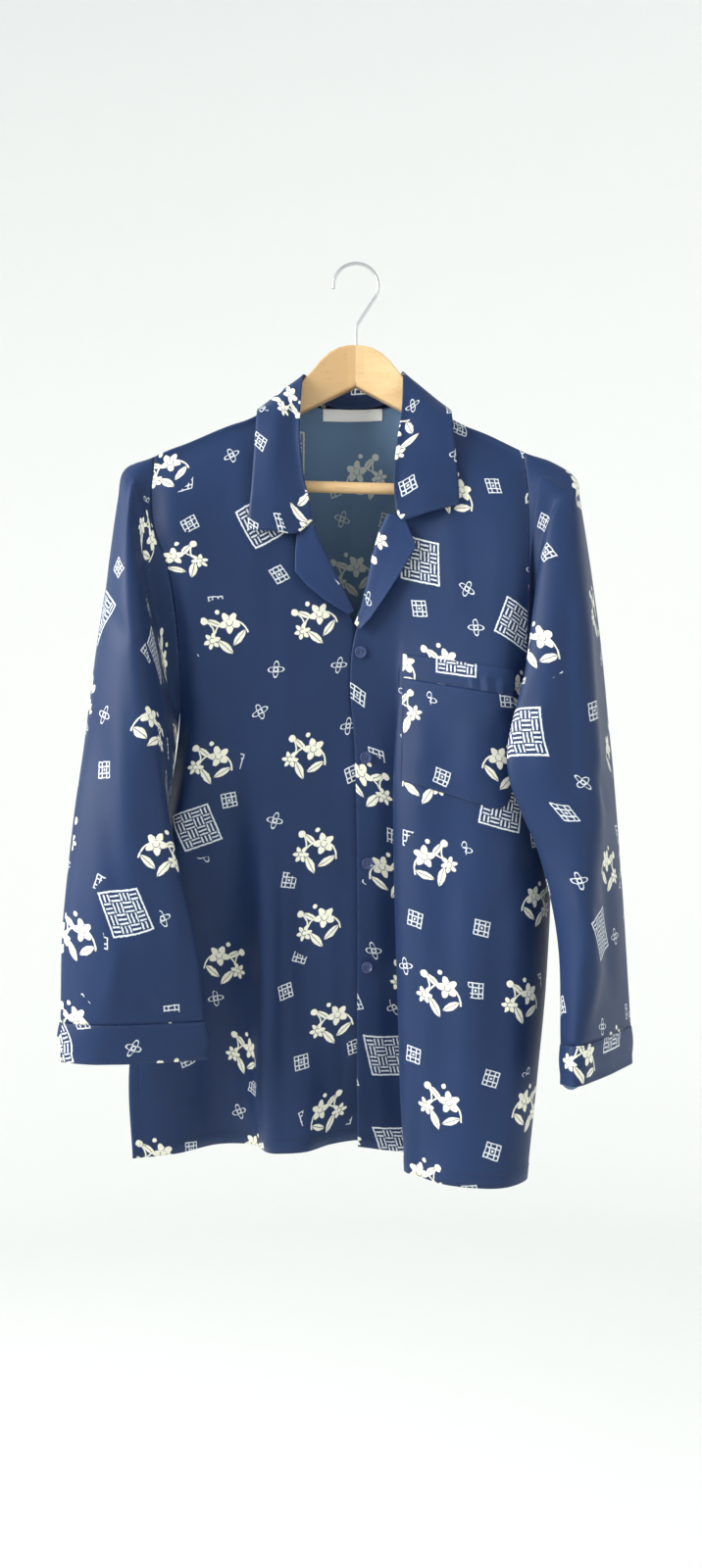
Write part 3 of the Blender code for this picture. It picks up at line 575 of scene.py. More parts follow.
class Signal:
    """A number in a material's node tree. Arithmetic on it adds Math nodes."""

    def __init__(self, graph: "Graph", socket: bpy.types.NodeSocket):
        """Wraps an output socket of the graph."""
        self.graph = graph
        self.socket = socket

    def call(self, operation: str, *others: object) -> "Signal":
        """Returns this number put through one Math node."""
        return self.graph.math(operation, self, *others)

    def __add__(self, other: object) -> "Signal":
        """Returns the sum."""
        return self.call("ADD", other)

    def __sub__(self, other: object) -> "Signal":
        """Returns the difference."""
        return self.call("SUBTRACT", other)

    def __mul__(self, other: object) -> "Signal":
        """Returns the product."""
        return self.call("MULTIPLY", other)

    def __truediv__(self, other: object) -> "Signal":
        """Returns the quotient."""
        return self.call("DIVIDE", other)

    def __neg__(self) -> "Signal":
        """Returns the number with its sign turned."""
        return self.call("MULTIPLY", -1.0)

    def __abs__(self) -> "Signal":
        """Returns the number without its sign."""
        return self.call("ABSOLUTE")

    def least(self, other: object) -> "Signal":
        """Returns the smaller of two numbers."""
        return self.call("MINIMUM", other)

    def most(self, other: object) -> "Signal":
        """Returns the larger of two numbers."""
        return self.call("MAXIMUM", other)


class Graph:
    """A material's node tree, built from Python expressions."""

    def __init__(self, name: str):
        """Makes a material with a Principled shader."""
        self.material = bpy.data.materials.new(name)
        self.material.use_nodes = True
        self.tree = self.material.node_tree
        self.shader = self.tree.nodes["Principled BSDF"]

    def node(self, kind: str, inputs: dict, **settings: object) -> bpy.types.Node:
        """Adds a node.

        Args:
            kind: its type.
            inputs: what its inputs take, by their names or numbers.
            settings: its properties.

        Returns:
            The node.
        """
        made = self.tree.nodes.new(kind)
        for key, value in settings.items():
            setattr(made, key, value)
        for key, value in inputs.items():
            self.feed(made.inputs[key], value)
        return made

    def feed(self, socket: bpy.types.NodeSocket, value: object) -> None:
        """Links a signal or a socket into an input, or sets a constant on it."""
        if isinstance(value, Signal):
            value = value.socket
        if isinstance(value, bpy.types.NodeSocket):
            self.tree.links.new(value, socket)
        else:
            socket.default_value = value

    def cloth(self) -> bpy.types.NodeSocket:
        """Returns the flat cloth's coordinates, in metres."""
        return self.node("ShaderNodeUVMap", {}, uv_map="cloth").outputs["UV"]

    def place(self) -> bpy.types.NodeSocket:
        """Returns the object's own coordinates, in metres."""
        return self.node("ShaderNodeTexCoord", {}).outputs["Object"]

    def math(self, operation: str, *values: object) -> Signal:
        """Adds one Math node."""
        made = self.node("ShaderNodeMath", dict(enumerate(values)), operation=operation)
        return Signal(self, made.outputs[0])

    def vector(self, operation: str, first: object, second: object) -> bpy.types.NodeSocket:
        """Adds one Vector Math node."""
        inputs = {0: first, "Scale" if operation == "SCALE" else 1: second}
        return self.node("ShaderNodeVectorMath", inputs, operation=operation).outputs[0]

    def split(self, vector: bpy.types.NodeSocket) -> tuple:
        """Returns a vector's three numbers."""
        made = self.node("ShaderNodeSeparateXYZ", {0: vector})
        return tuple(Signal(self, socket) for socket in made.outputs)

    def noise(self, vector: object, scale: float, detail: float = 2.0, rough: float = 0.5) -> tuple:
        """Adds a noise and returns its number and its colour."""
        inputs = {"Vector": vector, "Scale": scale, "Detail": detail, "Roughness": rough}
        made = self.node("ShaderNodeTexNoise", inputs, noise_dimensions="3D")
        return Signal(self, made.outputs["Fac"]), made.outputs["Color"]

    def ramp(self, value: object, low: float, high: float) -> Signal:
        """Returns 0 below low, 1 above high and a line between."""
        inputs = {"Value": value, "From Min": low, "From Max": high}
        made = self.node("ShaderNodeMapRange", inputs, clamp=True)
        return Signal(self, made.outputs["Result"])

    def mix(self, amount: object, first: object, second: object) -> bpy.types.NodeSocket:
        """Mixes two colours."""
        made = self.node("ShaderNodeMix", {}, data_type="RGBA")
        for number, value in ((0, amount), (6, first), (7, second)):
            self.feed(made.inputs[number], value)
        return made.outputs[2]

    def bump(self, height: object, depth: float, strength: float) -> None:
        """Lays a relief on the shader, depth in metres for a height of 1."""
        inputs = {"Strength": strength, "Distance": depth, "Height": height}
        self.surface(Normal=self.node("ShaderNodeBump", inputs).outputs["Normal"])

    def surface(self, **values: object) -> None:
        """Sets the shader's inputs, named with underscores for spaces."""
        for key, value in values.items():
            self.feed(self.shader.inputs[key.replace("_", " ")], value)


def rgb(red: float, green: float, blue: float) -> tuple:
    """Turns a screen colour of 0 to 255 into linear light."""
    share = [channel / 255 for channel in (red, green, blue)]
    light = [c / 12.92 if c <= 0.04045 else ((c + 0.055) / 1.055) ** 2.4 for c in share]
    return (*light, 1.0)


def tinted(colour: tuple, share: float, lift: float = 0.0) -> tuple:
    """Returns a colour scaled by a share and raised by a lift."""
    return (*(min(1.0, share * c + lift) for c in colour[:3]), 1.0)


class Motif:
    """Drawing marks of the generic print, as distances in millimetres (below 0 is inside)."""

    def __init__(self, graph: Graph, x: Signal, y: Signal):
        """Takes the graph and a motif's own coordinates."""
        self.graph = graph
        self.x = x
        self.y = y

    def polar(self, cx: float, cy: float) -> tuple:
        """Returns distance and angle from a point."""
        dx, dy = self.x - cx, self.y - cy
        return self.graph.math("SQRT", dx * dx + dy * dy), self.graph.math("ARCTAN2", dy, dx)

    def blossom(self, cx: float, cy: float, size: float, petals: int) -> Signal:
        """Draws an open flower with a ring at its eye and lines between its petals."""
        away, angle = self.polar(cx, cy)
        body = away - (angle * float(petals)).call("COSINE") * (0.2 * size) - 0.8 * size
        eye = -abs(away - 0.3 * size) + 0.32
        line = -(abs((angle * (petals / 2)).call("COSINE")) * away) * (2 / petals) + 0.42
        return body.most(eye).most(line.least(away - 0.42 * size))

    def leaf(self, cx: float, cy: float, angle: float, long: float, wide: float) -> Signal:
        """Draws a pointed leaf with its midrib."""
        c, s = math.cos(math.radians(angle)), math.sin(math.radians(angle))
        along = (self.x - cx) * c + (self.y - cy) * s
        side = abs((self.y - cy) * c - (self.x - cx) * s)
        body = side + along * along * (wide / long**2) - wide
        return body.most(-side + 0.3)

    def stalk(self, cx: float, cy: float, size: float, wide: float, above: float) -> Signal:
        """Draws an arc of a stalk, kept above a height."""
        away, _ = self.polar(cx, cy)
        return (abs(away - size) - wide).most(-self.y + above)

    def dot(self, cx: float, cy: float, size: float) -> Signal:
        """Draws a disc."""
        return self.polar(cx, cy)[0] - size

    def spray(self) -> Signal:
        """Draws the large figure: two blossoms, a bud and leaves on bent stalks."""
        marks = [
            self.blossom(-9.0, 6.0, 10.5, 5),
            self.blossom(12.5, -4.5, 8.0, 6),
            self.dot(13.5, 15.0, 3.4),
            self.dot(-1.5, 19.0, 2.2),
            self.leaf(2.0, -14.0, 58.0, 10.0, 3.6),
            self.leaf(-13.5, -10.5, -32.0, 9.5, 3.4),
            self.leaf(4.5, 10.0, 40.0, 8.0, 2.8),
            self.stalk(-6.0, -8.0, 16.5, 0.75, -9.0),
            self.stalk(22.0, 4.0, 14.0, 0.7, -2.0).most(self.x - 15.0),
        ]
        total = marks[0]
        for mark in marks[1:]:
            total = total.least(mark)
        return total

    def fret(self, half: float, tile: float) -> Signal:
        """Draws the square figure: a frame round a basket weave of short bars.

        Args:
            half: half the frame's side.
            tile: side of one patch of the weave.

        Returns:
            The mark.
        """
        reach = abs(self.x).most(abs(self.y))
        border = abs(reach - half + 0.9) - 0.8
        column, row = (self.x + half) / tile, (self.y + half) / tile
        odd = (column.call("FLOOR") + row.call("FLOOR")).call("MODULO", 2.0)
        even = -odd + 1.0
        tx, ty = (column.call("FRACT") - 0.5) * tile, (row.call("FRACT") - 0.5) * tile
        across, along = tx * odd + ty * even, ty * odd + tx * even
        pitch = tile / 2.6
        bars = abs((across / pitch + 0.5).call("FRACT") - 0.5) * pitch - 0.75
        return border.least(bars.most(abs(along) - tile / 2 + 0.7).most(reach - half + 2.9))

    def floret(self) -> Signal:
        """Draws the small figure: four petals round a ring."""
        away, angle = self.polar(0.0, 0.0)
        body = away - (angle * 4.0).call("COSINE") * 2.1 - 6.0
        return (abs(body + 0.6) - 0.6).least(abs(away - 2.1) - 0.6)

    def lattice(self, half: float) -> Signal:
        """Draws the other small figure: a square of crossed lines with an open middle."""
        x, y = self.x, self.y
        reach = abs(x).most(abs(y))
        lines = abs(abs(x) - half * 0.42).least(abs(abs(y) - half * 0.42)) - 0.55
        ends = reach - half
        middle = -reach + half * 0.3
        dot = self.polar(0.0, 0.0)[0] - 1.1
        return lines.most(ends).most(middle).least(abs(reach - half) - 0.5).least(dot)
    def ink(self, mark: Signal) -> Signal:
        """Returns how much ink lies at each place of a mark, whose edge is a little soft."""
        return self.graph.ramp(-mark, -INK_EDGE, INK_EDGE)

@dataclass(frozen=True)
class Print:
    """A tossed print of sprays, frets and small figures, in the cloth's coordinates.

    Args:
        pitch: spacing of the large figures.
        small_pitch: spacing of the small ones.
        fret_share: share of the large figures that are frets.
        room: how far small figures keep from a large one's middle.
        wobble: how far the drawn lines stray.
    """

    pitch: float = 96.0
    small_pitch: float = 66.0
    fret_share: float = 0.24
    room: float = 31.0
    wobble: float = 1.3

    def scatter(
        self, graph: Graph, flat: object, pitch: float, loose: float, swing: float
    ) -> tuple:
        """Tosses figures over the cloth.

        Args:
            graph: the material.
            flat: the cloth's coordinates in millimetres.
            pitch: spacing of the figures.
            loose: how far they leave an even grid, 0 to 1.
            swing: range of their turns, in radians.

        Returns:
            Each place's two coordinates on its nearest figure, and that figure's chance.
        """
        spread = graph.vector("SCALE", flat, 1 / pitch)
        inputs = {"Vector": spread, "Scale": 1.0, "Randomness": loose}
        cells = graph.node("ShaderNodeTexVoronoi", inputs, voronoi_dimensions="2D", feature="F1")
        local = graph.vector("SUBTRACT", spread, cells.outputs["Position"])
        x, y, _ = graph.split(graph.vector("SCALE", local, pitch))
        kind, turn, flip = graph.split(cells.outputs["Color"])
        angle = (turn - 0.5) * swing
        c, s = angle.call("COSINE"), angle.call("SINE")
        way = flip.call("GREATER_THAN", 0.5) * 2.0 - 1.0
        return (x * c + y * s) * way, y * c - x * s, kind

    def masks(self, graph: Graph) -> tuple:
        """Draws the print.

        Args:
            graph: the material.

        Returns:
            How much of the cream ink and of the pale ink lies at each place.
        """
        flat = graph.vector("SCALE", graph.cloth(), 1 / MM)
        _, jitter = graph.noise(flat, 0.32, 1.0)
        stray = graph.vector("SUBTRACT", jitter, (0.5, 0.5, 0.5))
        drawn = graph.vector("ADD", flat, graph.vector("SCALE", stray, self.wobble))
        x, y, kind = self.scatter(graph, drawn, self.pitch, 0.5, 0.6)
        large = Motif(graph, x, y)
        fret = kind.call("LESS_THAN", self.fret_share)
        cream = large.ink(large.spray()) * (-fret + 1.0)
        pale = large.ink(large.fret(19.8, 9.9)) * fret
        room = graph.math("SQRT", x * x + y * y).call("GREATER_THAN", self.room)
        shifted = graph.vector("ADD", drawn, (23.0, 41.0, 0.0))
        x, y, kind = self.scatter(graph, shifted, self.small_pitch, 0.7, 0.8)
        small = Motif(graph, x, y)
        first = kind.call("LESS_THAN", 0.5)
        marks = small.ink(small.floret()) * first + small.ink(small.lattice(6.8)) * (-first + 1.0)
        return cream, pale.most(marks * room)


@dataclass(frozen=True)
class Sateen:
    """A printed woven sateen.

    Args:
        name: the material's name.
        ground: the cloth's colour.
        cream: the ink of the sprays.
        pale: the ink of the frets and small figures.
        ink: how strongly the print shows.
        rough: the face's roughness.
    """

    name: str
    ground: tuple
    cream: tuple
    pale: tuple
    ink: float = 1.0
    rough: float = 0.46

    def material(self) -> bpy.types.Material:
        """Builds the material."""
        graph = Graph(self.name)
        place = graph.cloth()
        cloud, _ = graph.noise(place, 9.0, 3.0)
        colour = graph.mix(graph.ramp(cloud, 0.25, 0.75), tinted(self.ground, 0.82), self.ground)
        rim = graph.node("ShaderNodeAttribute", {}, attribute_name="rim").outputs["Fac"]
        rub, _ = graph.noise(place, 160.0, 3.0)
        wear = Signal(graph, rim) * graph.ramp(rub, 0.35, 0.75) * 0.5
        colour = graph.mix(wear, colour, tinted(self.ground, 1.35, 0.01))
        cream, pale = Print().masks(graph)
        colour = graph.mix(cream * self.ink, colour, self.cream)
        colour = graph.mix(pale * (0.94 * self.ink), colour, self.pale)
        ink = cream.most(pale)
        u, v, _ = graph.split(place)
        warp = (u * 2 * math.pi * 2400.0).call("SINE")
        weft = ((v + u * 0.5) * 2 * math.pi * 900.0).call("SINE")
        crumple, _ = graph.noise(place, 34.0, 4.0, 0.55)
        relief = warp * 0.12 + weft * 0.25 + crumple * 4.0 + ink * 0.6
        rough = graph.ramp(cloud, 0.0, 1.0) * 0.08 + (self.rough - 0.04) + ink * 0.22
        graph.bump(relief, 0.00012, 0.8)
        graph.surface(Base_Color=colour, Roughness=rough, Specular_IOR_Level=0.22)
        graph.surface(Sheen_Weight=0.05, Sheen_Roughness=0.4)
        return graph.material


@dataclass(frozen=True)
class Beech:
    """Clear-varnished beech with fine flecked grain along its length."""

    name: str
    pale: tuple
    dark: tuple
    rough: float = 0.34

    def material(self) -> bpy.types.Material:
        """Builds the material."""
        graph = Graph(self.name)
        place = graph.place()
        long = graph.vector("MULTIPLY", place, (6.0, 60.0, 42.0))
        bands, _ = graph.noise(long, 1.6, 4.0, 0.6)
        fine = graph.vector("MULTIPLY", place, (45.0, 700.0, 520.0))
        pores, _ = graph.noise(fine, 1.0, 2.0, 0.6)
        flecks = graph.ramp(pores, 0.62, 0.72)
        colour = graph.mix(graph.ramp(bands, 0.3, 0.72), self.pale, self.dark)
        colour = graph.mix(flecks * 0.4, colour, tinted(self.dark, 0.62))
        graph.bump(bands * 0.5 + pores, 0.00006, 0.5)
        graph.surface(Base_Color=colour, Roughness=graph.ramp(pores, 0, 1) * 0.1 + self.rough)
        graph.surface(Specular_IOR_Level=0.5, Coat_Weight=0.25, Coat_Roughness=0.2)
        return graph.material


@dataclass(frozen=True)
class Steel:
    """Nickelled wire with faint drawing marks."""

    name: str
    colour: tuple
    rough: float = 0.24

    def material(self) -> bpy.types.Material:
        """Builds the material."""
        graph = Graph(self.name)
        drawn = graph.vector("MULTIPLY", graph.place(), (900.0, 900.0, 60.0))
        marks, _ = graph.noise(drawn, 1.0, 3.0)
        graph.bump(marks, 0.00002, 0.4)
        colour = graph.mix(marks, tinted(self.colour, 0.8), self.colour)
        graph.surface(Base_Color=colour, Metallic=1.0)
        graph.surface(Roughness=marks * 0.14 + self.rough)
        return graph.material


@dataclass(frozen=True)
class Resin:
    """Cast button resin with a faint cloud in it."""

    name: str
    colour: tuple
    cloud: tuple
    rough: float = 0.2

    def material(self) -> bpy.types.Material:
        """Builds the material."""
        graph = Graph(self.name)
        place = graph.place()
        swirl, _ = graph.noise(place, 420.0, 4.0, 0.6)
        graph.surface(Base_Color=graph.mix(graph.ramp(swirl, 0.35, 0.75), self.colour, self.cloud))
        scratch, _ = graph.noise(place, 2600.0, 2.0)
        graph.bump(scratch, 0.00001, 0.4)
        graph.surface(Roughness=scratch * 0.14 + self.rough, Specular_IOR_Level=0.5)
        graph.surface(Coat_Weight=0.3, Coat_Roughness=0.12)
        return graph.material


@dataclass(frozen=True)
class Woven:
    """Plain-woven tape or thread, seen as crossed yarns."""

    name: str
    colour: tuple
    yarn: float = 0.45
    rough: float = 0.7
    shade: float = 0.9

    def material(self) -> bpy.types.Material:
        """Builds the material."""
        graph = Graph(self.name)
        place = graph.place()
        x, _, z = graph.split(place)
        turns = 2 * math.pi / (self.yarn * MM)
        weave = (x * turns).call("SINE") * (z * turns).call("SINE")
        cloud, _ = graph.noise(place, 120.0, 3.0)
        deep = tinted(self.colour, self.shade)
        graph.surface(Base_Color=graph.mix(graph.ramp(weave + cloud, -0.4, 1.2), deep, self.colour))
        graph.bump(weave, 0.00008, 0.7)
        graph.surface(Roughness=cloud * 0.1 + self.rough, Sheen_Weight=0.2)
        return graph.material


class Inks(Enum):
    """The screen colours of the shirt."""

    NAVY = rgb(30, 51, 90)
    NAVY_DEEP = rgb(34, 56, 98)
    INSIDE = rgb(98, 126, 158)
    CREAM = rgb(240, 238, 220)
    PALE = rgb(224, 229, 232)
    GHOST = rgb(222, 224, 210)
    THREAD = rgb(22, 29, 56)
    WHITE = rgb(252, 252, 252)
    BEECH_PALE = rgb(222, 192, 146)
    BEECH_DARK = rgb(205, 167, 116)
    STEEL = rgb(205, 207, 210)
    BUTTON = rgb(40, 54, 98)
    BUTTON_CLOUD = rgb(58, 76, 126)


@dataclass
class Finishes:
    """The materials of all pieces."""

    outside: bpy.types.Material
    inside: bpy.types.Material
    facing: bpy.types.Material
    thread: bpy.types.Material
    tape: bpy.types.Material
    beech_left: bpy.types.Material
    beech_right: bpy.types.Material
    steel: bpy.types.Material
    resin: bpy.types.Material

    @classmethod
    def make(cls) -> "Finishes":
        """Builds them all."""
        inks = (Inks.CREAM.value, Inks.PALE.value)
        ghost = (Inks.GHOST.value, Inks.GHOST.value)
        pale, dark = Inks.BEECH_PALE.value, Inks.BEECH_DARK.value
        return cls(
            outside=Sateen("sateen_printed", Inks.NAVY.value, *inks).material(),
            inside=Sateen("sateen_wrong_side", Inks.INSIDE.value, *ghost, 0.75, 0.62).material(),
            facing=Sateen("sateen_facing", Inks.NAVY_DEEP.value, *inks).material(),
            thread=Woven("navy_thread", Inks.THREAD.value, 0.3).material(),
            tape=Woven("white_tape", Inks.WHITE.value, shade=0.97).material(),
            # Two copies of one beech: a darker one with painted shade for hanger_arm_right, and a
            # paler one with painted light for hanger_arm_left and the bar.
            beech_left=Beech("beech_left", dark, tinted(dark, 0.93)).material(),
            beech_right=Beech("beech_right", pale, dark).material(),
            steel=Steel("nickelled_steel", Inks.STEEL.value).material(),
            resin=Resin("navy_resin", Inks.BUTTON.value, Inks.BUTTON_CLOUD.value).material(),
        )


def shown(made: bpy.types.Object, slot: str, *nodes: str) -> bpy.types.Object:
    """Fixes a piece to the body and hides the frame's nodes that it stands for.

    Args:
        made: the piece.
        slot: the finish; not used.
        nodes: the frame's nodes that it stands for, which are hidden.

    Returns:
        The piece.
    """
    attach(made, BODY)
    if nodes:
        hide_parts(*nodes)
    LOG.info("%s: %d faces, in place of %s", made.name, len(made.data.polygons), nodes or "none")
    return made


def arm_depth(x: np.ndarray) -> np.ndarray:
    """Returns the depth of the hanger's arms, which sweep towards the viewer."""
    return -ARM_SWEEP * (np.hypot(x, 12.0) - 12.0)


def arm_height(table: tuple, x: np.ndarray) -> np.ndarray:
    """Returns the height of an edge of the arms, which hang a little low on one side."""
    reach, drop = np.transpose(table)
    return -through(reach, drop, np.abs(x)) - ARM_TILT * np.asarray(x, float)


def shoulder(x: np.ndarray, depth: float, lift: float) -> np.ndarray:
    """Returns points along the top of the arms, moved in depth and height."""
    x = np.asarray(x, float)
    return np.stack([x, arm_depth(x) + depth, arm_height(ARM_TOP, x) + lift], -1)


def section(row: tuple) -> np.ndarray:
    """Returns the points of one level of a front, from its edge to its side."""
    _, z_edge, z_side, sag, x, y = row
    x = np.asarray(x, float)
    share = (x - x[0]) / (x[-1] - x[0])
    z = z_edge + (z_side - z_edge) * share - sag * np.sin(math.pi * np.clip(share, 0, 1))
    return np.stack([x, np.asarray(y, float), z], -1)


def front_levels(rows: tuple, neck: float, tip: float) -> np.ndarray:
    """Returns all levels of a front, from the shoulder seam on the hanger to the hem."""
    across = np.linspace(neck, tip, 10)
    over = [shoulder(across, -depth, lift) for depth, lift in OVER_ARM]
    return np.array(over + [section(row) for row in rows])


FRONTS = {
    "left": front_levels(FRONT_LEFT, NECK_HALF, SHOULDER_LEFT),
    "right": front_levels(FRONT_RIGHT, -NECK_HALF, -SHOULDER_RIGHT),
}


def side_edge(side: str, level: np.ndarray, back: bool) -> np.ndarray:
    """Finds points of the armhole and the side seam.

    Args:
        side: left or right.
        level: levels of the front's table.
        back: whether the back's edge is meant, and not the front's.

    Returns:
        A point at each level.
    """
    level = np.asarray(level, float)
    edge = FRONTS[side][:, -1]
    found = through(range(len(edge)), edge, level)
    if back:
        share = np.clip(level / UNDERARM_LEVEL, 0, 1)
        found[:, 1] += ARMHOLE_DEPTH * np.sin(math.pi * share)
        below = np.clip((level - UNDERARM_LEVEL - 2) / 3, 0, 1)
        found[:, 1] += 16.0 * below**2
    return found


def back_levels() -> np.ndarray:
    """Returns all levels of the back, from the shoulders and the neck seam to the hem."""
    left = np.linspace(-SHOULDER_RIGHT, -NECK_HALF, 6)
    right = np.linspace(NECK_HALF, SHOULDER_LEFT, 6)
    neck = np.array(BACK_NECK, float)
    near = np.clip(np.abs(neck[:, 0]) / NECK_HALF, 0, 1)
    levels = []
    for depth, lift in OVER_ARM:
        spread = neck * (1 + 0.003 * depth, 1, 1)
        spread[:, 1] += depth * (0.15 + 0.85 * near**8)
        spread[:, 2] += (lift - OVER_ARM[0][1]) * (0.45 + 0.55 * near**6)
        ends = [shoulder(left, depth, lift), spread, shoulder(right, depth, lift)]
        levels.append(np.concatenate(ends))
    top = levels[0]
    share = (top[:, 0] - top[0, 0]) / (top[-1, 0] - top[0, 0])
    even = np.linspace(0, 1, len(top))
    for level, height, depth in BACK:
        ends = [side_edge(side, [level + 2], True)[0] for side in ("right", "left")]
        spot = share + (even - share) * min(1.0, level / 6)
        row = ends[0] + (ends[1] - ends[0]) * spot[:, None]
        crown = 1 - np.abs(2 * spot - 1) ** (1.1 + 0.35 * min(level, 6))
        row[:, 1] += (depth - row[:, 1]) * crown
        row[:, 2] += (height - row[:, 2]) * (1 - np.abs(2 * spot - 1) ** 1.5)
        for place, width, swing in BACK_FOLDS:
            row[:, 1] += swing * (level / 11) ** 2 * np.exp(-(((spot - place) / width) ** 2))
        levels.append(row)
    return np.array(levels)


def ring(row: tuple) -> np.ndarray:
    """Returns the points round a sleeve at one row of its table."""
    _, over, under, x, y = row
    z = over + (under - over) * np.asarray(RING_DROP)
    return np.stack([np.asarray(x, float), np.asarray(y, float), z], -1)


def closed_rows(rows: list, count: int) -> np.ndarray:
    """Returns rings of eight points made into smooth rings of this many."""
    rows = np.asarray(rows)
    wide = np.concatenate([rows[:, -2:], rows, rows[:, :3]], 1).transpose(1, 0, 2)
    at = 2 + np.arange(count) * rows.shape[1] / count
    return through(range(len(wide)), wide, at).transpose(1, 0, 2)


# Soft folds that the viewer sees: their lines as (x, z) points, half their width, how far
# they stand out and, where it isn't the usual share, how much of their ends fades.
CREASES = {
    "front_right": (
        (((-86, -540), (-84, -640), (-85, -760), (-86, -872)), 9.0, 4.2),
        (((-112, -470), (-118, -600), (-124, -740), (-128, -872)), 17.0, -3.6),
        (((-150, -560), (-160, -700), (-170, -872)), 13.0, 2.6),
        (((-50, -520), (-52, -640), (-46, -860)), 12.0, -2.2),
        (((-28, -560), (-24, -700), (-22, -866)), 9.0, 1.8),
        (((-152, -300), (-128, -352), (-96, -430)), 12.0, -1.6),
        (((-165, -400), (-140, -440), (-118, -520)), 11.0, 2.0),
        (((-110, -215), (-100, -290), (-92, -380)), 13.0, 1.4),
        (((-70, -300), (-66, -400), (-66, -500)), 11.0, 1.2),
    ),
    "front_left": (
        (((58, -440), (58, -600), (60, -740), (62, -878)), 20.0, 5.5, 0.2),
        (((98, -556), (100, -680), (96, -880)), 14.0, 2.4),
        (((128, -550), (132, -680), (128, -880)), 13.0, -2.0),
        (((158, -470), (140, -430), (118, -400)), 10.0, -1.6),
        (((160, -330), (150, -380), (146, -420)), 8.0, -2.0),
        (((84, -215), (92, -290), (98, -370)), 13.0, 1.4),
        (((172, -530), (150, -560), (120, -640)), 11.0, 1.6),
    ),
    "back": (
        (((-3, -165), (-3.5, -230), (-4, -320), (-4, -400)), 2.4, -1.0),
        (((-24, -170), (-22, -240), (-18, -340)), 12.0, 1.6),
        (((20, -170), (16, -240), (14, -340)), 10.0, -1.4),
    ),
    "sleeve_right": (
        (((-215, -250), (-208, -330), (-198, -430), (-188, -520)), 9.0, 3.0),
        (((-240, -420), (-232, -520), (-218, -620), (-206, -700)), 13.0, -3.4),
        (((-186, -470), (-178, -560), (-168, -640), (-160, -722)), 8.0, 2.0),
        (((-256, -470), (-262, -580), (-266, -700)), 10.0, 2.0),
        (((-236, -300), (-228, -350), (-206, -390)), 9.0, -2.0),
        (((-212, -640), (-222, -690), (-232, -730)), 9.0, 2.2),
        (((-192, -704), (-196, -728)), 4.0, -2.4, 0.45),
    ),
    "sleeve_left": (
        (((210, -300), (212, -400), (216, -500), (220, -600)), 8.0, 4.0),
        (((196, -300), (192, -400), (192, -480), (200, -560)), 9.0, -3.0),
        (((176, -420), (162, -470), (176, -520)), 8.0, 2.4),
        (((192, -590), (208, -640), (216, -680), (204, -740)), 8.0, 3.4),
        (((226, -560), (232, -640), (236, -720)), 8.0, -3.0),
        (((240, -420), (244, -540), (250, -700)), 9.0, 2.0),
        (((200, -480), (216, -500), (232, -540)), 7.0, -2.2),
    ),
    "cuff_left": ((((206, -742), (206, -790)), 8.0, 1.6, 0.4),),
    "collar": (
        (((-62, -150), (-68, -200), (-72, -262)), 9.0, 0.8),
        (((66, -160), (66, -200), (66, -240)), 10.0, 0.8),
    ),
    "pocket": (
        (((60, -430), (64, -500)), 12.0, 1.0),
        (((112, -440), (104, -520)), 14.0, 1.2),
        (((134, -440), (130, -500)), 8.0, -1.2),
    ),
    "pocket_band": (
        (((108, -404), (110, -424)), 2.2, 0.9, 0.25),
        (((115, -406), (117, -426)), 1.8, -0.8, 0.25),
        (((122, -407), (124, -428)), 2.0, 0.9, 0.25),
        (((130, -409), (131, -429)), 1.8, -0.7, 0.25),
        (((137, -410), (137, -430)), 2.0, 0.7, 0.25),
    ),
}


def dress(sheet: Sheet, looks: tuple, slot: str) -> None:
    """Makes a sheet's object in place of its node.

    Args:
        sheet: the sheet, named after its node.
        looks: the materials of its outward face and its other face.
        slot: its finish.
    """
    node = sheet.name.removeprefix("cloth_")
    made = shown(sheet.build(*looks), slot, node)


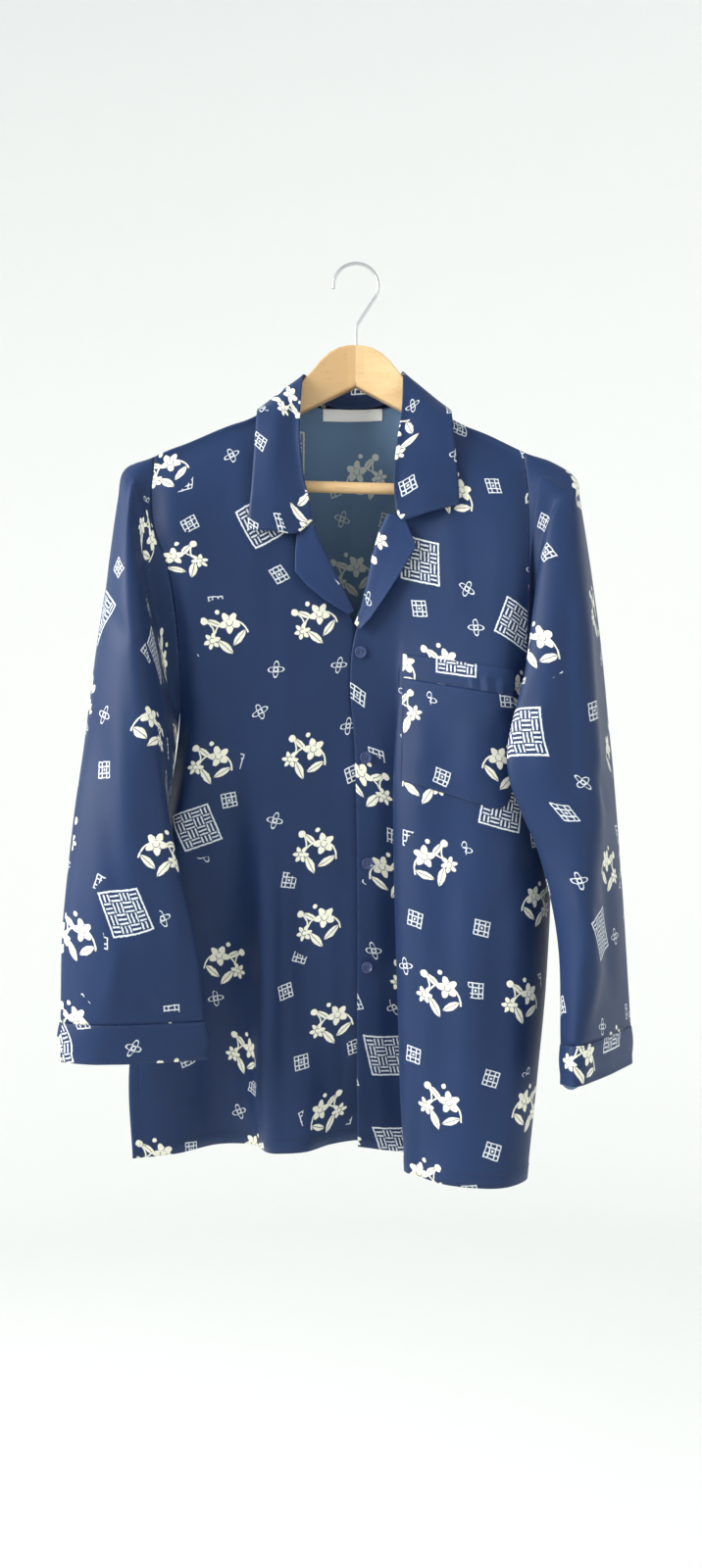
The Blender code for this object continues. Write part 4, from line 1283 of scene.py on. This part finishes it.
@dataclass
class Stitching:
    """Rows of short thread stitches laid on cloth.

    Args:
        name: the piece's name.
        pitch: spacing of the stitches.
        long: length of one stitch.
        thick: thickness of the thread.
        sides: how many sides the thread has.
        points: the points made so far.
        faces: the faces made so far.
    """

    name: str
    pitch: float = 3.0
    long: float = 2.2
    thick: float = 0.42
    sides: int = 6
    points: list = field(default_factory=list)
    faces: list = field(default_factory=list)

    def stitch(self, start: np.ndarray, end: np.ndarray, out: np.ndarray) -> None:
        """Adds one stitch.

        Args:
            start: its one end.
            end: its other end.
            out: the cloth's outward normal, along which it is raised.
        """
        run = end - start
        side = unit(np.cross(run, out))
        half = self.thick / 2
        first = len(self.points)
        swells = ((0.0, 0.35), (0.25, 1.0), (0.75, 1.0), (1.0, 0.35))
        for share, swell in swells:
            spot = start + run * share + out * half * (0.3 + 0.5 * math.sin(math.pi * share))
            for k in range(self.sides):
                turn = 2 * math.pi * k / self.sides
                around = side * math.cos(turn) + out * 0.8 * math.sin(turn)
                self.points.append(spot + around * half * swell)
        self.faces += tube(len(swells), self.sides, first)
        ring = tuple(range(first, first + self.sides))
        last = self.sides * (len(swells) - 1)
        self.faces += [ring[::-1], tuple(last + k for k in ring)]

    def run(self, line: tuple, gap: float, start: float = 0.0, stop: float = 0.0) -> "Stitching":
        """Sews along a line on the cloth.

        Args:
            line: the line's points and outward normals.
            gap: half the cloth's wall, which the thread lies on.
            start: how far from the line's start the sewing begins.
            stop: how far before its end the sewing stops.

        Returns:
            This piece.
        """
        points, out = line
        run = lengths(points)
        for at in np.arange(start, run[-1] - stop - self.long, self.pitch):
            way = unit(between(at + self.long / 2, run, out))
            ends = [between(place, run, points) + way * gap for place in (at, at + self.long)]
            self.stitch(*ends, way)
        return self

    def build(self, look: bpy.types.Material) -> bpy.types.Object:
        """Makes the stitches' object."""
        mesh = smooth_mesh(self.name, [tuple(point * MM) for point in self.points], self.faces)
        mesh.materials.append(look)
        return linked(self.name, mesh)


class Surface:
    """A sheet made searchable, so that other pieces can be laid on it from the front."""

    def __init__(self, grid: np.ndarray):
        """Builds the search tree over a grid of points."""
        faces = quads(*grid.shape[:2]).reshape(-1, 4).tolist()
        self.tree = BVHTree.FromPolygons(grid.reshape(-1, 3).tolist(), faces)

    def at(self, x: float, z: float, lift: float) -> tuple:
        """Returns the point that the viewer sees at x and z, moved out, and its normal."""
        place, normal, _, _ = self.tree.ray_cast(Vector((x, VIEWER, z)), Vector((0, 1, 0)))
        if normal.y > 0:
            normal = -normal
        return np.array(place + normal * lift), np.array(normal)


@dataclass
class Shirt:
    """The pyjama shirt: its panels, sleeves, collar, pocket and seams.

    Args:
        looks: the materials.
        seam: the gap drawn open at each seam.
        hem: depth of the turned hem.
        around: how many points go round a sleeve.
        sheets: the sheets made so far, by their names.
    """

    looks: Finishes
    seam: float = 0.3
    hem: float = 12.0
    around: int = 120
    sheets: dict = field(default_factory=dict)

    def keep(self, node: str, grid: np.ndarray, origin: tuple, **settings: object) -> Sheet:
        """Makes a sheet, presses its creases and remembers it.

        Args:
            node: the node that it stands for.
            grid: its points.
            origin: where the print starts on it.
            settings: the sheet's other fields.

        Returns:
            The sheet.
        """
        sheet = Sheet(f"cloth_{node}", grid, origin=origin, **settings)
        self.sheets[sheet.name] = sheet
        creases = tuple(Crease(*row) for row in CREASES.get(node, ()))
        return sheet.press(creases, front_only=sheet.looped)

    def panels(self) -> None:
        """Makes the two fronts and the back, their rows closer together over the arms."""
        down = np.concatenate([np.linspace(0, 2, 13), np.linspace(2, 13, 122)[1:]])
        for side, columns, outward, origin in (
            ("left", 120, 1, (31.0, 0.0)),
            ("right", 110, -1, (-208.0, 37.0)),
        ):
            grid = refine(FRONTS[side], down, np.linspace(0, 9, columns))
            sheet = self.keep(f"front_{side}", grid, origin, outward=outward)
            sheet.turn_hem(self.hem).draw_in(self.seam, "first row", "last column")
        levels = back_levels()
        grid = refine(levels, down, np.linspace(0, levels.shape[1] - 1, 190))
        sheet = self.keep("back", grid, (517.0, 211.0), outward=-1)
        sheet.turn_hem(self.hem).draw_in(self.seam, "first row", "first column", "last column")

    def sleeve(self, side: str, rows: tuple, outward: int, origins: tuple) -> None:
        """Makes one sleeve and its cuff.

        Args:
            side: left or right.
            rows: the sleeve's table.
            outward: the sheets' outward sign.
            origins: where the print starts on the sleeve and on the cuff.
        """
        rings = closed_rows([ring(row) for row in rows], self.around)
        down = np.linspace(0, UNDERARM_LEVEL, self.around // 2 + 1)
        front, back = side_edge(side, down, False), side_edge(side, down[-2:0:-1], True)
        rings = np.concatenate([np.concatenate([front, back])[None], rings])
        places = np.concatenate([[0, 0.12, 0.3, 0.55], np.linspace(0.8, len(rings) - 1, 116)])
        grid = through(range(len(rings)), rings, places)
        looped = {"looped": True, "outward": outward}
        sheet = self.keep(f"sleeve_{side}", grid, origins[0], **looped)
        last, end = sheet.grid[-8], sheet.grid[-1].copy()
        sheet.draw_in(0.5, "first row").draw_in(self.seam, "last row")
        way = unit(unit(end - last) * CUFF_DROP + np.array((0, 0, -1)) * (1 - CUFF_DROP))
        middle = end.mean(0)
        rings = []
        for step in np.linspace(0, 1, 30):
            loose = 1.006 + 0.035 * math.sin(math.pi * min(step * 1.3, 1.0))
            rings.append(middle + (end - middle) * (loose, loose, 1) + way * CUFF_DEPTH * step)
        self.keep(f"cuff_{side}", np.array(rings), origins[1], thick=1.5, **looped)

    def collar(self) -> None:
        """Makes the collar, rolled over round the neck."""
        foot, roll, edge = np.asarray(COLLAR, float).transpose(1, 0, 2)
        stand = foot + (roll - foot) * 0.7
        fall = roll + unit(edge - roll) * 6.0 + (foot - roll) * 0.06
        middle = roll + (edge - roll) * 0.55 + unit(roll - foot) * COLLAR_BULGE
        for end, (notch, inner) in zip((0, -1), COLLAR_ENDS):
            fall[end] = notch
            middle[end] = inner
        levels = np.array([foot, stand, roll, fall, middle, edge])
        grid = refine(levels, np.linspace(0, 5, 46), np.linspace(0, len(COLLAR) - 1, 230))
        self.keep("collar", grid, (64.0, 530.0), thick=1.3).draw_in(self.seam, "first row")

    def lapels(self) -> None:
        """Makes the two lapels, each rolled from its facing."""
        for side, rows, way, origin in (
            ("left", LAPEL_LEFT, 1, (402.0, 260.0)),
            ("right", LAPEL_RIGHT, -1, (-333.0, 148.0)),
        ):
            roll = np.array([row[0] for row in rows], float)
            outer = np.array([row[1] for row in rows], float)
            wide, deep = np.transpose([row[2] for row in rows])
            inner = roll + np.stack([way * wide, deep, 0 * wide], -1)
            turn = roll + np.stack([way * 0.02 * wide, 0.55 * deep, 0 * wide], -1)
            levels = np.array([inner, turn, roll, roll + (outer - roll) * 0.5, outer])
            tall = through(range(5), levels, np.linspace(0, 4, 40)).transpose(1, 0, 2)
            grid = straight(tall, np.linspace(0, 6, 49)).transpose(1, 0, 2)
            self.keep(f"lapel_{side}", grid, origin, outward=-way, turn=90.0 * way)

    def laid(self, ground: Surface, start: float, end: float, count: int) -> np.ndarray:
        """Lays cloth of the pocket's outline on the left front.

        Args:
            ground: the front.
            start: where it starts, in shares of the way from the pocket's mouth to its foot.
            end: where it ends.
            count: how many rows it has.

        Returns:
            Its grid of points.
        """
        (x0, z0), (x1, z1) = POCKET_TOP
        (x2, z2), (x3, z3) = POCKET_FOOT
        grid = []
        for step in np.linspace(1, 0, count):
            v = end - (end - start) * step**1.6
            near = max(0.0, 1 - (1 - v) * (z0 - z2) / POCKET_ROUND)
            turn = POCKET_ROUND * (1 - math.sqrt(max(0.0, 1 - near * near)))
            low, high = x0 + (x2 - x0) * v, x1 + (x3 - x1) * v - turn
            line = []
            for u in np.linspace(0, 1, 70):
                z = z0 + (z2 - z0) * v + (z1 - z0 + (z3 - z2 - z1 + z0) * v) * u
                line.append(ground.at(low + (high - low) * u, z, POCKET_LIFT)[0])
            grid.append(line)
        return np.array(grid)

    def pocket(self) -> None:
        """Makes the pocket and the band across its mouth."""
        ground = Surface(self.sheets["cloth_front_left"].grid)
        pocket = self.laid(ground, 0.0, 1.0, 56)
        self.keep("pocket", pocket, (88.0, 402.0)).draw_in(0.2, "first row")
        band = self.laid(ground, -BAND_DEPTH / (POCKET_TOP[0][1] - POCKET_FOOT[0][1]), 0.0, 18)
        self.keep("pocket_band", band, (301.0, 77.0), thick=1.2).draw_in(0.2, "last row")

    def build(self) -> None:
        """Makes all the shirt's pieces and gives them their materials."""
        self.panels()
        self.sleeve("left", SLEEVE_LEFT, -1, ((733.0, 95.0), (151.0, 77.0)))
        self.sleeve("right", SLEEVE_RIGHT, 1, ((-655.0, 318.0), (-95.0, 412.0)))
        self.collar()
        self.lapels()
        self.pocket()
        looks = self.looks
        for name, sheet in self.sheets.items():
            facing = name.startswith("cloth_lapel")
            outside = looks.facing if facing else looks.outside
            inside = looks.outside if name == "cloth_collar" else looks.inside
            dress(sheet, (outside, inside), "facing" if facing else "sateen")

    def sew(self) -> None:
        """Sews the hems, the pocket, the cuffs and the vent."""
        hem = ("last row", self.hem, 3, 3)
        seams = {
            "hem_front_left": (("front_left", *hem),),
            "hem_front_right": (("front_right", *hem),),
            "hem_back": (("back", *hem),),
            "pocket": (
                ("pocket_band", "last row", 1.6, 1, 1),
                ("pocket", "first column", 1.5, 0, 2),
                ("pocket", "last column", 1.5, 0, 2),
                ("pocket", "last row", 1.5, 1, 1),
            ),
        }
        for cuff in ("cuff_left", "cuff_right"):
            seams[cuff] = ((cuff, "first row", 1.8, 0, 0), (cuff, "last row", 2.2, 0, 0))
        seams["vent"] = (("front_right", "last column", 8.0, 0, 12),)
        for name, rows in seams.items():
            reach = VENT if name == "vent" else math.inf
            line = Stitching(f"stitches_{name}")
            for node, side, inset, start, stop in rows:
                sheet = self.sheets[f"cloth_{node}"]
                points, out = sheet.edge(side, inset)
                low = points[:, 2] < points[:, 2].min() + reach
                line.run((points[low], out[low]), sheet.thick / 2, start, stop)
            shown(line.build(self.looks.thread), "sateen")


def all_clear() -> None:
    """Deselects every object, so that an operator acts on the new piece alone."""
    for other in bpy.context.selected_objects:
        other.select_set(False)


def pick(made: bpy.types.Object, kind: str, test: object) -> None:
    """Selects the active mesh's faces or edges that pass a test on their place.

    Args:
        made: the object in edit mode.
        kind: FACE or EDGE.
        test: takes the element's middle and normal, and says whether it is picked.
    """
    work = bmesh.from_edit_mesh(made.data)
    bpy.ops.mesh.select_all(action="DESELECT")
    bpy.context.tool_settings.mesh_select_mode = (False, kind == "EDGE", kind == "FACE")
    work.select_mode = {kind}
    for item in {"FACE": work.faces, "EDGE": work.edges}[kind]:
        middle = sum((vert.co for vert in item.verts), Vector()) / len(item.verts)
        way = item.normal if kind == "FACE" else Vector()
        item.select_set(bool(test(middle, way)))
    work.select_flush_mode()
    bmesh.update_edit_mesh(made.data)


def active(made: bpy.types.Object) -> bpy.types.Object:
    """Selects one object alone and makes it the active one."""
    all_clear()
    made.select_set(True)
    bpy.context.view_layer.objects.active = made
    return made


@dataclass
class ButtonRow:
    """Four resin buttons with four holes, each sewn on with two pairs of thread bars.

    Args:
        looks: the materials.
        radius: a button's radius.
        thick: its thickness at the rim.
        dish: how deep its middle is turned out.
        hole: radius of a thread hole.
        spread: each hole's distance from the middle, across and up.
    """

    looks: Finishes
    radius: float = BUTTON_RADIUS
    thick: float = BUTTON_THICK
    dish: float = 0.7
    hole: float = 0.75
    spread: float = 1.35

    def cylinder(self, sides: int, radius: float, long: float, place: tuple) -> bpy.types.Object:
        """Adds a cylinder along the Z axis.

        Args:
            sides: how many sides it has.
            radius: its radius.
            long: its length.
            place: where its middle lies, across and up.

        Returns:
            The cylinder, selected alone.
        """
        all_clear()
        bpy.ops.mesh.primitive_cylinder_add(
            vertices=sides,
            radius=radius * MM,
            depth=long * MM,
            location=(place[0] * MM, place[1] * MM, 0),
            end_fill_type="NGON",
        )
        return bpy.context.object

    def blank(self) -> bpy.types.Object:
        """Models one button lying on the ground plane at the origin."""
        made = self.cylinder(48, self.radius, self.thick, (0, 0))
        bpy.ops.object.mode_set(mode="EDIT")
        pick(made, "FACE", lambda middle, way: way.z > 0.9)
        for width, depth in ((1.25, 0.0), (0.7, -self.dish), (1.0, -0.12)):
            bpy.ops.mesh.inset(thickness=width * MM, depth=depth * MM)
        top, rim = self.thick / 2 * MM, (self.radius - 0.1) * MM
        pick(made, "EDGE", lambda middle, way: abs(abs(middle.z) - top) < 1e-6
             and middle.xy.length > rim)
        bpy.ops.mesh.bevel(offset=0.55 * MM, segments=4, affect="EDGES")
        bpy.ops.object.mode_set(mode="OBJECT")
        for dx, dy in ((1, 1), (1, -1), (-1, 1), (-1, -1)):
            drill = self.cylinder(16, self.hole, 8, (dx * self.spread, dy * self.spread))
            cut = active(made).modifiers.new("boolean", "BOOLEAN")
            cut.operation, cut.object, cut.solver = "DIFFERENCE", drill, "EXACT"
            bpy.ops.object.modifier_apply(modifier=cut.name)
            bpy.data.objects.remove(drill)
        bpy.ops.object.shade_smooth_by_angle(angle=math.radians(35))
        made.data.materials.clear()
        made.data.materials.append(self.looks.resin)
        return made

    def thread(self) -> bpy.types.Object:
        """Models the doubled thread bars over two pairs of holes."""
        bars = Stitching("button_thread", thick=0.62)
        low = self.thick / 2 - self.dish - 0.5
        for x in (-self.spread - 0.22, -self.spread + 0.22, self.spread - 0.22, self.spread + 0.22):
            ends = [np.array((x, y, low)) for y in (-1.9, 1.9)]
            bars.stitch(*ends, np.array((0.0, 0.0, 1.0)))
        return bars.build(self.looks.thread)

    def build(self, ground: Surface, gap: float) -> None:
        """Sets the four buttons on the left front.

        Args:
            ground: the front.
            gap: how far the buttons' backs lie above the middle of its wall.
        """
        blank, thread = self.blank(), self.thread()
        for number, (x, z) in enumerate(BUTTONS, 1):
            place, normal = ground.at(x, z, gap + self.thick / 2)
            turn = Vector(normal).to_track_quat("Z", "Y").to_matrix().to_4x4()
            spin = Matrix.Rotation(math.radians(17 * number - 40), 4, "Z")
            stand = Matrix.Translation(Vector(place) * MM) @ turn @ spin
            for pattern, name, slot, nodes in (
                (blank, f"resin_button_{number}", "buttons", (f"button_{number}",)),
                (thread, f"button_thread_{number}", "sateen", ()),
            ):
                data = pattern.data.copy()
                data.name = name
                data.transform(stand)
                shown(linked(name, data), slot, *nodes)
        for pattern in (blank, thread):
            bpy.data.objects.remove(pattern)


@dataclass
class Hanger:
    """The beech hanger's finish, with painted shade on one arm and painted light on the other, and
    its wire hook.

    Args:
        looks: the materials.
        wire: the wire's thickness.
        bow: radius of the hook's bow.
        bend: radius of the bend above the stem.
        lean: how far the wire leans after that bend, in degrees.
    """

    looks: Finishes
    wire: float = WIRE
    bow: float = HOOK_RADIUS
    bend: float = 14.0
    lean: float = 33.0

    def pull(self, x: float, z: float) -> None:
        """Extrudes the picked end face along a way."""
        bpy.ops.mesh.extrude_region_move(TRANSFORM_OT_translate={"value": (x * MM, 0, z * MM)})

    def spin(self, turn: float, centre: tuple, axis: tuple, steps: int) -> None:
        """Spins the picked end face round a centre, given across and up.

        Args:
            turn: how far, in degrees.
            centre: the centre.
            axis: the way of the axle.
            steps: how many steps.
        """
        place = (centre[0] * MM, 0, centre[1] * MM)
        bpy.ops.mesh.spin(steps=steps, angle=math.radians(turn), center=place, axis=axis)

    def hook(self) -> None:
        """Models the hook: a stem, a bend to one side and a round bow."""
        lean = math.radians(self.lean)
        middle = self.wire / 2 - self.bow
        start = Vector((self.bow * math.cos(lean), 0, middle - self.bow * math.sin(lean)))
        slope = (start.x - self.bend * (1 - math.cos(lean))) / math.sin(lean)
        foot = start.z - slope * math.cos(lean) - self.bend * math.sin(lean)
        all_clear()
        bpy.ops.mesh.primitive_circle_add(
            vertices=20,
            radius=self.wire / 2 * MM,
            fill_type="NGON",
            location=(0, 0, STEM_FOOT * MM),
        )
        made = bpy.context.object
        bpy.ops.object.mode_set(mode="EDIT")
        bpy.ops.mesh.select_all(action="SELECT")
        self.pull(0, foot - STEM_FOOT)
        self.spin(self.lean, (self.bend, foot), (0, -1, 0), 10)
        self.pull(slope * math.sin(lean), slope * math.cos(lean))
        self.spin(220.0, (0, middle), (0, 1, 0), 72)
        self.pull(0, -0.5)
        bpy.ops.transform.resize(value=(0.62, 0.62, 0.62))
        bpy.ops.mesh.select_all(action="SELECT")
        bpy.ops.mesh.remove_doubles(threshold=1e-6)
        bpy.ops.mesh.normals_make_consistent(inside=False)
        bpy.ops.object.mode_set(mode="OBJECT")
        made.name = made.data.name = "wire_hook"
        made.data.materials.append(self.looks.steel)
        bpy.ops.object.transform_apply(location=True, rotation=True, scale=True)
        bpy.ops.object.shade_smooth_by_angle(angle=math.radians(50))
        shown(made, "steel", "hanger_hook")

    def build(self) -> None:
        """Dresses the arms and the bar, and makes the hook."""
        # hanger_arm_right gets the darker beech, which is painted shade; hanger_arm_left and the
        # bar get the paler beech, which is painted light.
        for node, look in (
            ("hanger_arm_left", self.looks.beech_right),
            ("hanger_arm_right", self.looks.beech_left),
            ("trouser_bar", self.looks.beech_right),
        ):
            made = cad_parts[node]
            made = bpy.data.objects[made] if isinstance(made, str) else made
            made.data.materials.clear()
            made.data.materials.append(look)
        self.hook()


@dataclass
class Label:
    """The blank white label sewn to the back below the collar.

    Args:
        looks: the materials.
        wide: its width.
        tall: its height.
        middle: where its middle lies, across.
    """

    looks: Finishes
    wide: float = LABEL_SIZE[0]
    tall: float = LABEL_SIZE[1]
    middle: float = -3.0

    def build(self, back: Sheet) -> None:
        """Lays the label on the back's inner face and sews its ends.

        Args:
            back: the back's sheet.
        """
        ground = Surface(back.grid)
        grid = []
        for v in np.linspace(0, 1, 16):
            z = LABEL_TOP - self.tall * v
            below = min(z, LABEL_SEAM)
            line = []
            for u in np.linspace(-0.5, 0.5, 60):
                swell = 0.35 * math.cos(math.pi * u) * math.sin(math.pi * v)
                swell += 0.12 * math.sin(19 * u)
                seated = ground.at(self.middle + self.wide * u, below, 1.1 + swell)[0]
                line.append(seated + np.array((0, 0, z - below)))
            grid.append(line)
        sheet = Sheet("cloth_label", np.array(grid), thick=0.5)
        dress(sheet, (self.looks.tape, self.looks.tape), "tape")
        line = Stitching("stitches_label", pitch=1.9, long=1.4, thick=0.3)
        for side in ("first column", "last column"):
            line.run(sheet.edge(side, 1.6), sheet.thick / 2, 0.6, 0.6)
        shown(line.build(self.looks.tape), "tape")


@dataclass
class Studio:
    """Camera, floor, pale cove and lights, in metres.

    Args:
        floor: height of the floor.
        inner: radius at which the floor starts to rise.
        outer: radius of the wall.
        top: height of the wall's open top.
        steps: how many steps the rise has.
        sides: how many sides the wall has.
        aim: the point on the shirt that the lamps face.
    """

    floor: float = -1.9
    inner: float = 3.0
    outer: float = 4.0
    top: float = 3.4
    steps: int = 12
    sides: int = 96
    aim: tuple = (0.0, 0.0, -0.5)

    def cove(self) -> None:
        """Makes the floor and the wall that it curves into."""
        profile = [(0.001, self.floor), (self.inner, self.floor)]
        reach = self.outer - self.inner
        for step in range(1, self.steps + 1):
            angle = math.pi / 2 * step / self.steps
            height = self.floor + reach * (1 - math.cos(angle))
            profile.append((self.inner + reach * math.sin(angle), height))
        profile.append((self.outer, self.top))
        points = []
        for radius, height in profile:
            for k in range(self.sides):
                turn = 2 * math.pi * k / self.sides
                points.append((radius * math.cos(turn), radius * math.sin(turn), height))
        mesh = smooth_mesh("studio_cove", points, tube(len(profile), self.sides))
        graph = Graph("pale_paint")
        graph.surface(Base_Color=rgb(244, 244, 241), Roughness=0.9)
        mesh.materials.append(graph.material)
        linked("studio_cove", mesh)

    def lamp(self, name: str, place: tuple, size: float, power: float, colour: tuple) -> None:
        """Adds a soft square lamp that faces the shirt.

        Args:
            name: its name.
            place: where it is.
            size: its side.
            power: its power in watts.
            colour: its colour.
        """
        data = bpy.data.lights.new(name, "AREA")
        data.shape = "SQUARE"
        data.size = size
        data.energy = power
        data.color = colour
        made = linked(name, data)
        made.location = place
        way = Vector(self.aim) - Vector(place)
        made.rotation_euler = way.to_track_quat("-Z", "Y").to_euler()

    def camera(self) -> None:
        """Sets the camera at the photograph's angle."""
        data = bpy.data.cameras.new("camera")
        data.lens = 32
        data.sensor_fit = "VERTICAL"
        data.sensor_height = 36
        made = linked("camera", data)
        made.location = (-0.0048, -1.371, -0.5105)
        made.rotation_euler = (math.pi / 2, 0, 0)
        bpy.context.scene.camera = made

    def build(self) -> None:
        """Sets up the whole studio."""
        scene = bpy.context.scene
        scene.view_settings.view_transform = "Standard"
        self.camera()
        self.cove()
        scene.world = bpy.data.worlds.new("studio_air")
        scene.world.use_nodes = True
        air = scene.world.node_tree.nodes["Background"]
        air.inputs["Color"].default_value = (0.86, 0.93, 1.0, 1.0)
        air.inputs["Strength"].default_value = 0.8
        self.lamp("key_window", (-2.3, -0.95, 0.55), 1.5, 112.0, (1.0, 0.99, 0.97))
        self.lamp("fill_card", (2.1, -1.9, 0.1), 1.8, 10.0, (0.93, 0.97, 1.0))


def main() -> None:
    """Builds all pieces in order and reports each."""
    logging.basicConfig(level=logging.INFO, format="%(name)s: %(message)s")
    Studio().build()
    looks = Finishes.make()
    shirt = Shirt(looks)
    shirt.build()
    shirt.sew()
    front = shirt.sheets["cloth_front_left"]
    ButtonRow(looks).build(Surface(front.grid), front.thick / 2 + 0.3)
    Label(looks).build(shirt.sheets["cloth_back"])
    Hanger(looks).build()


if __name__ == "__main__":
    main()
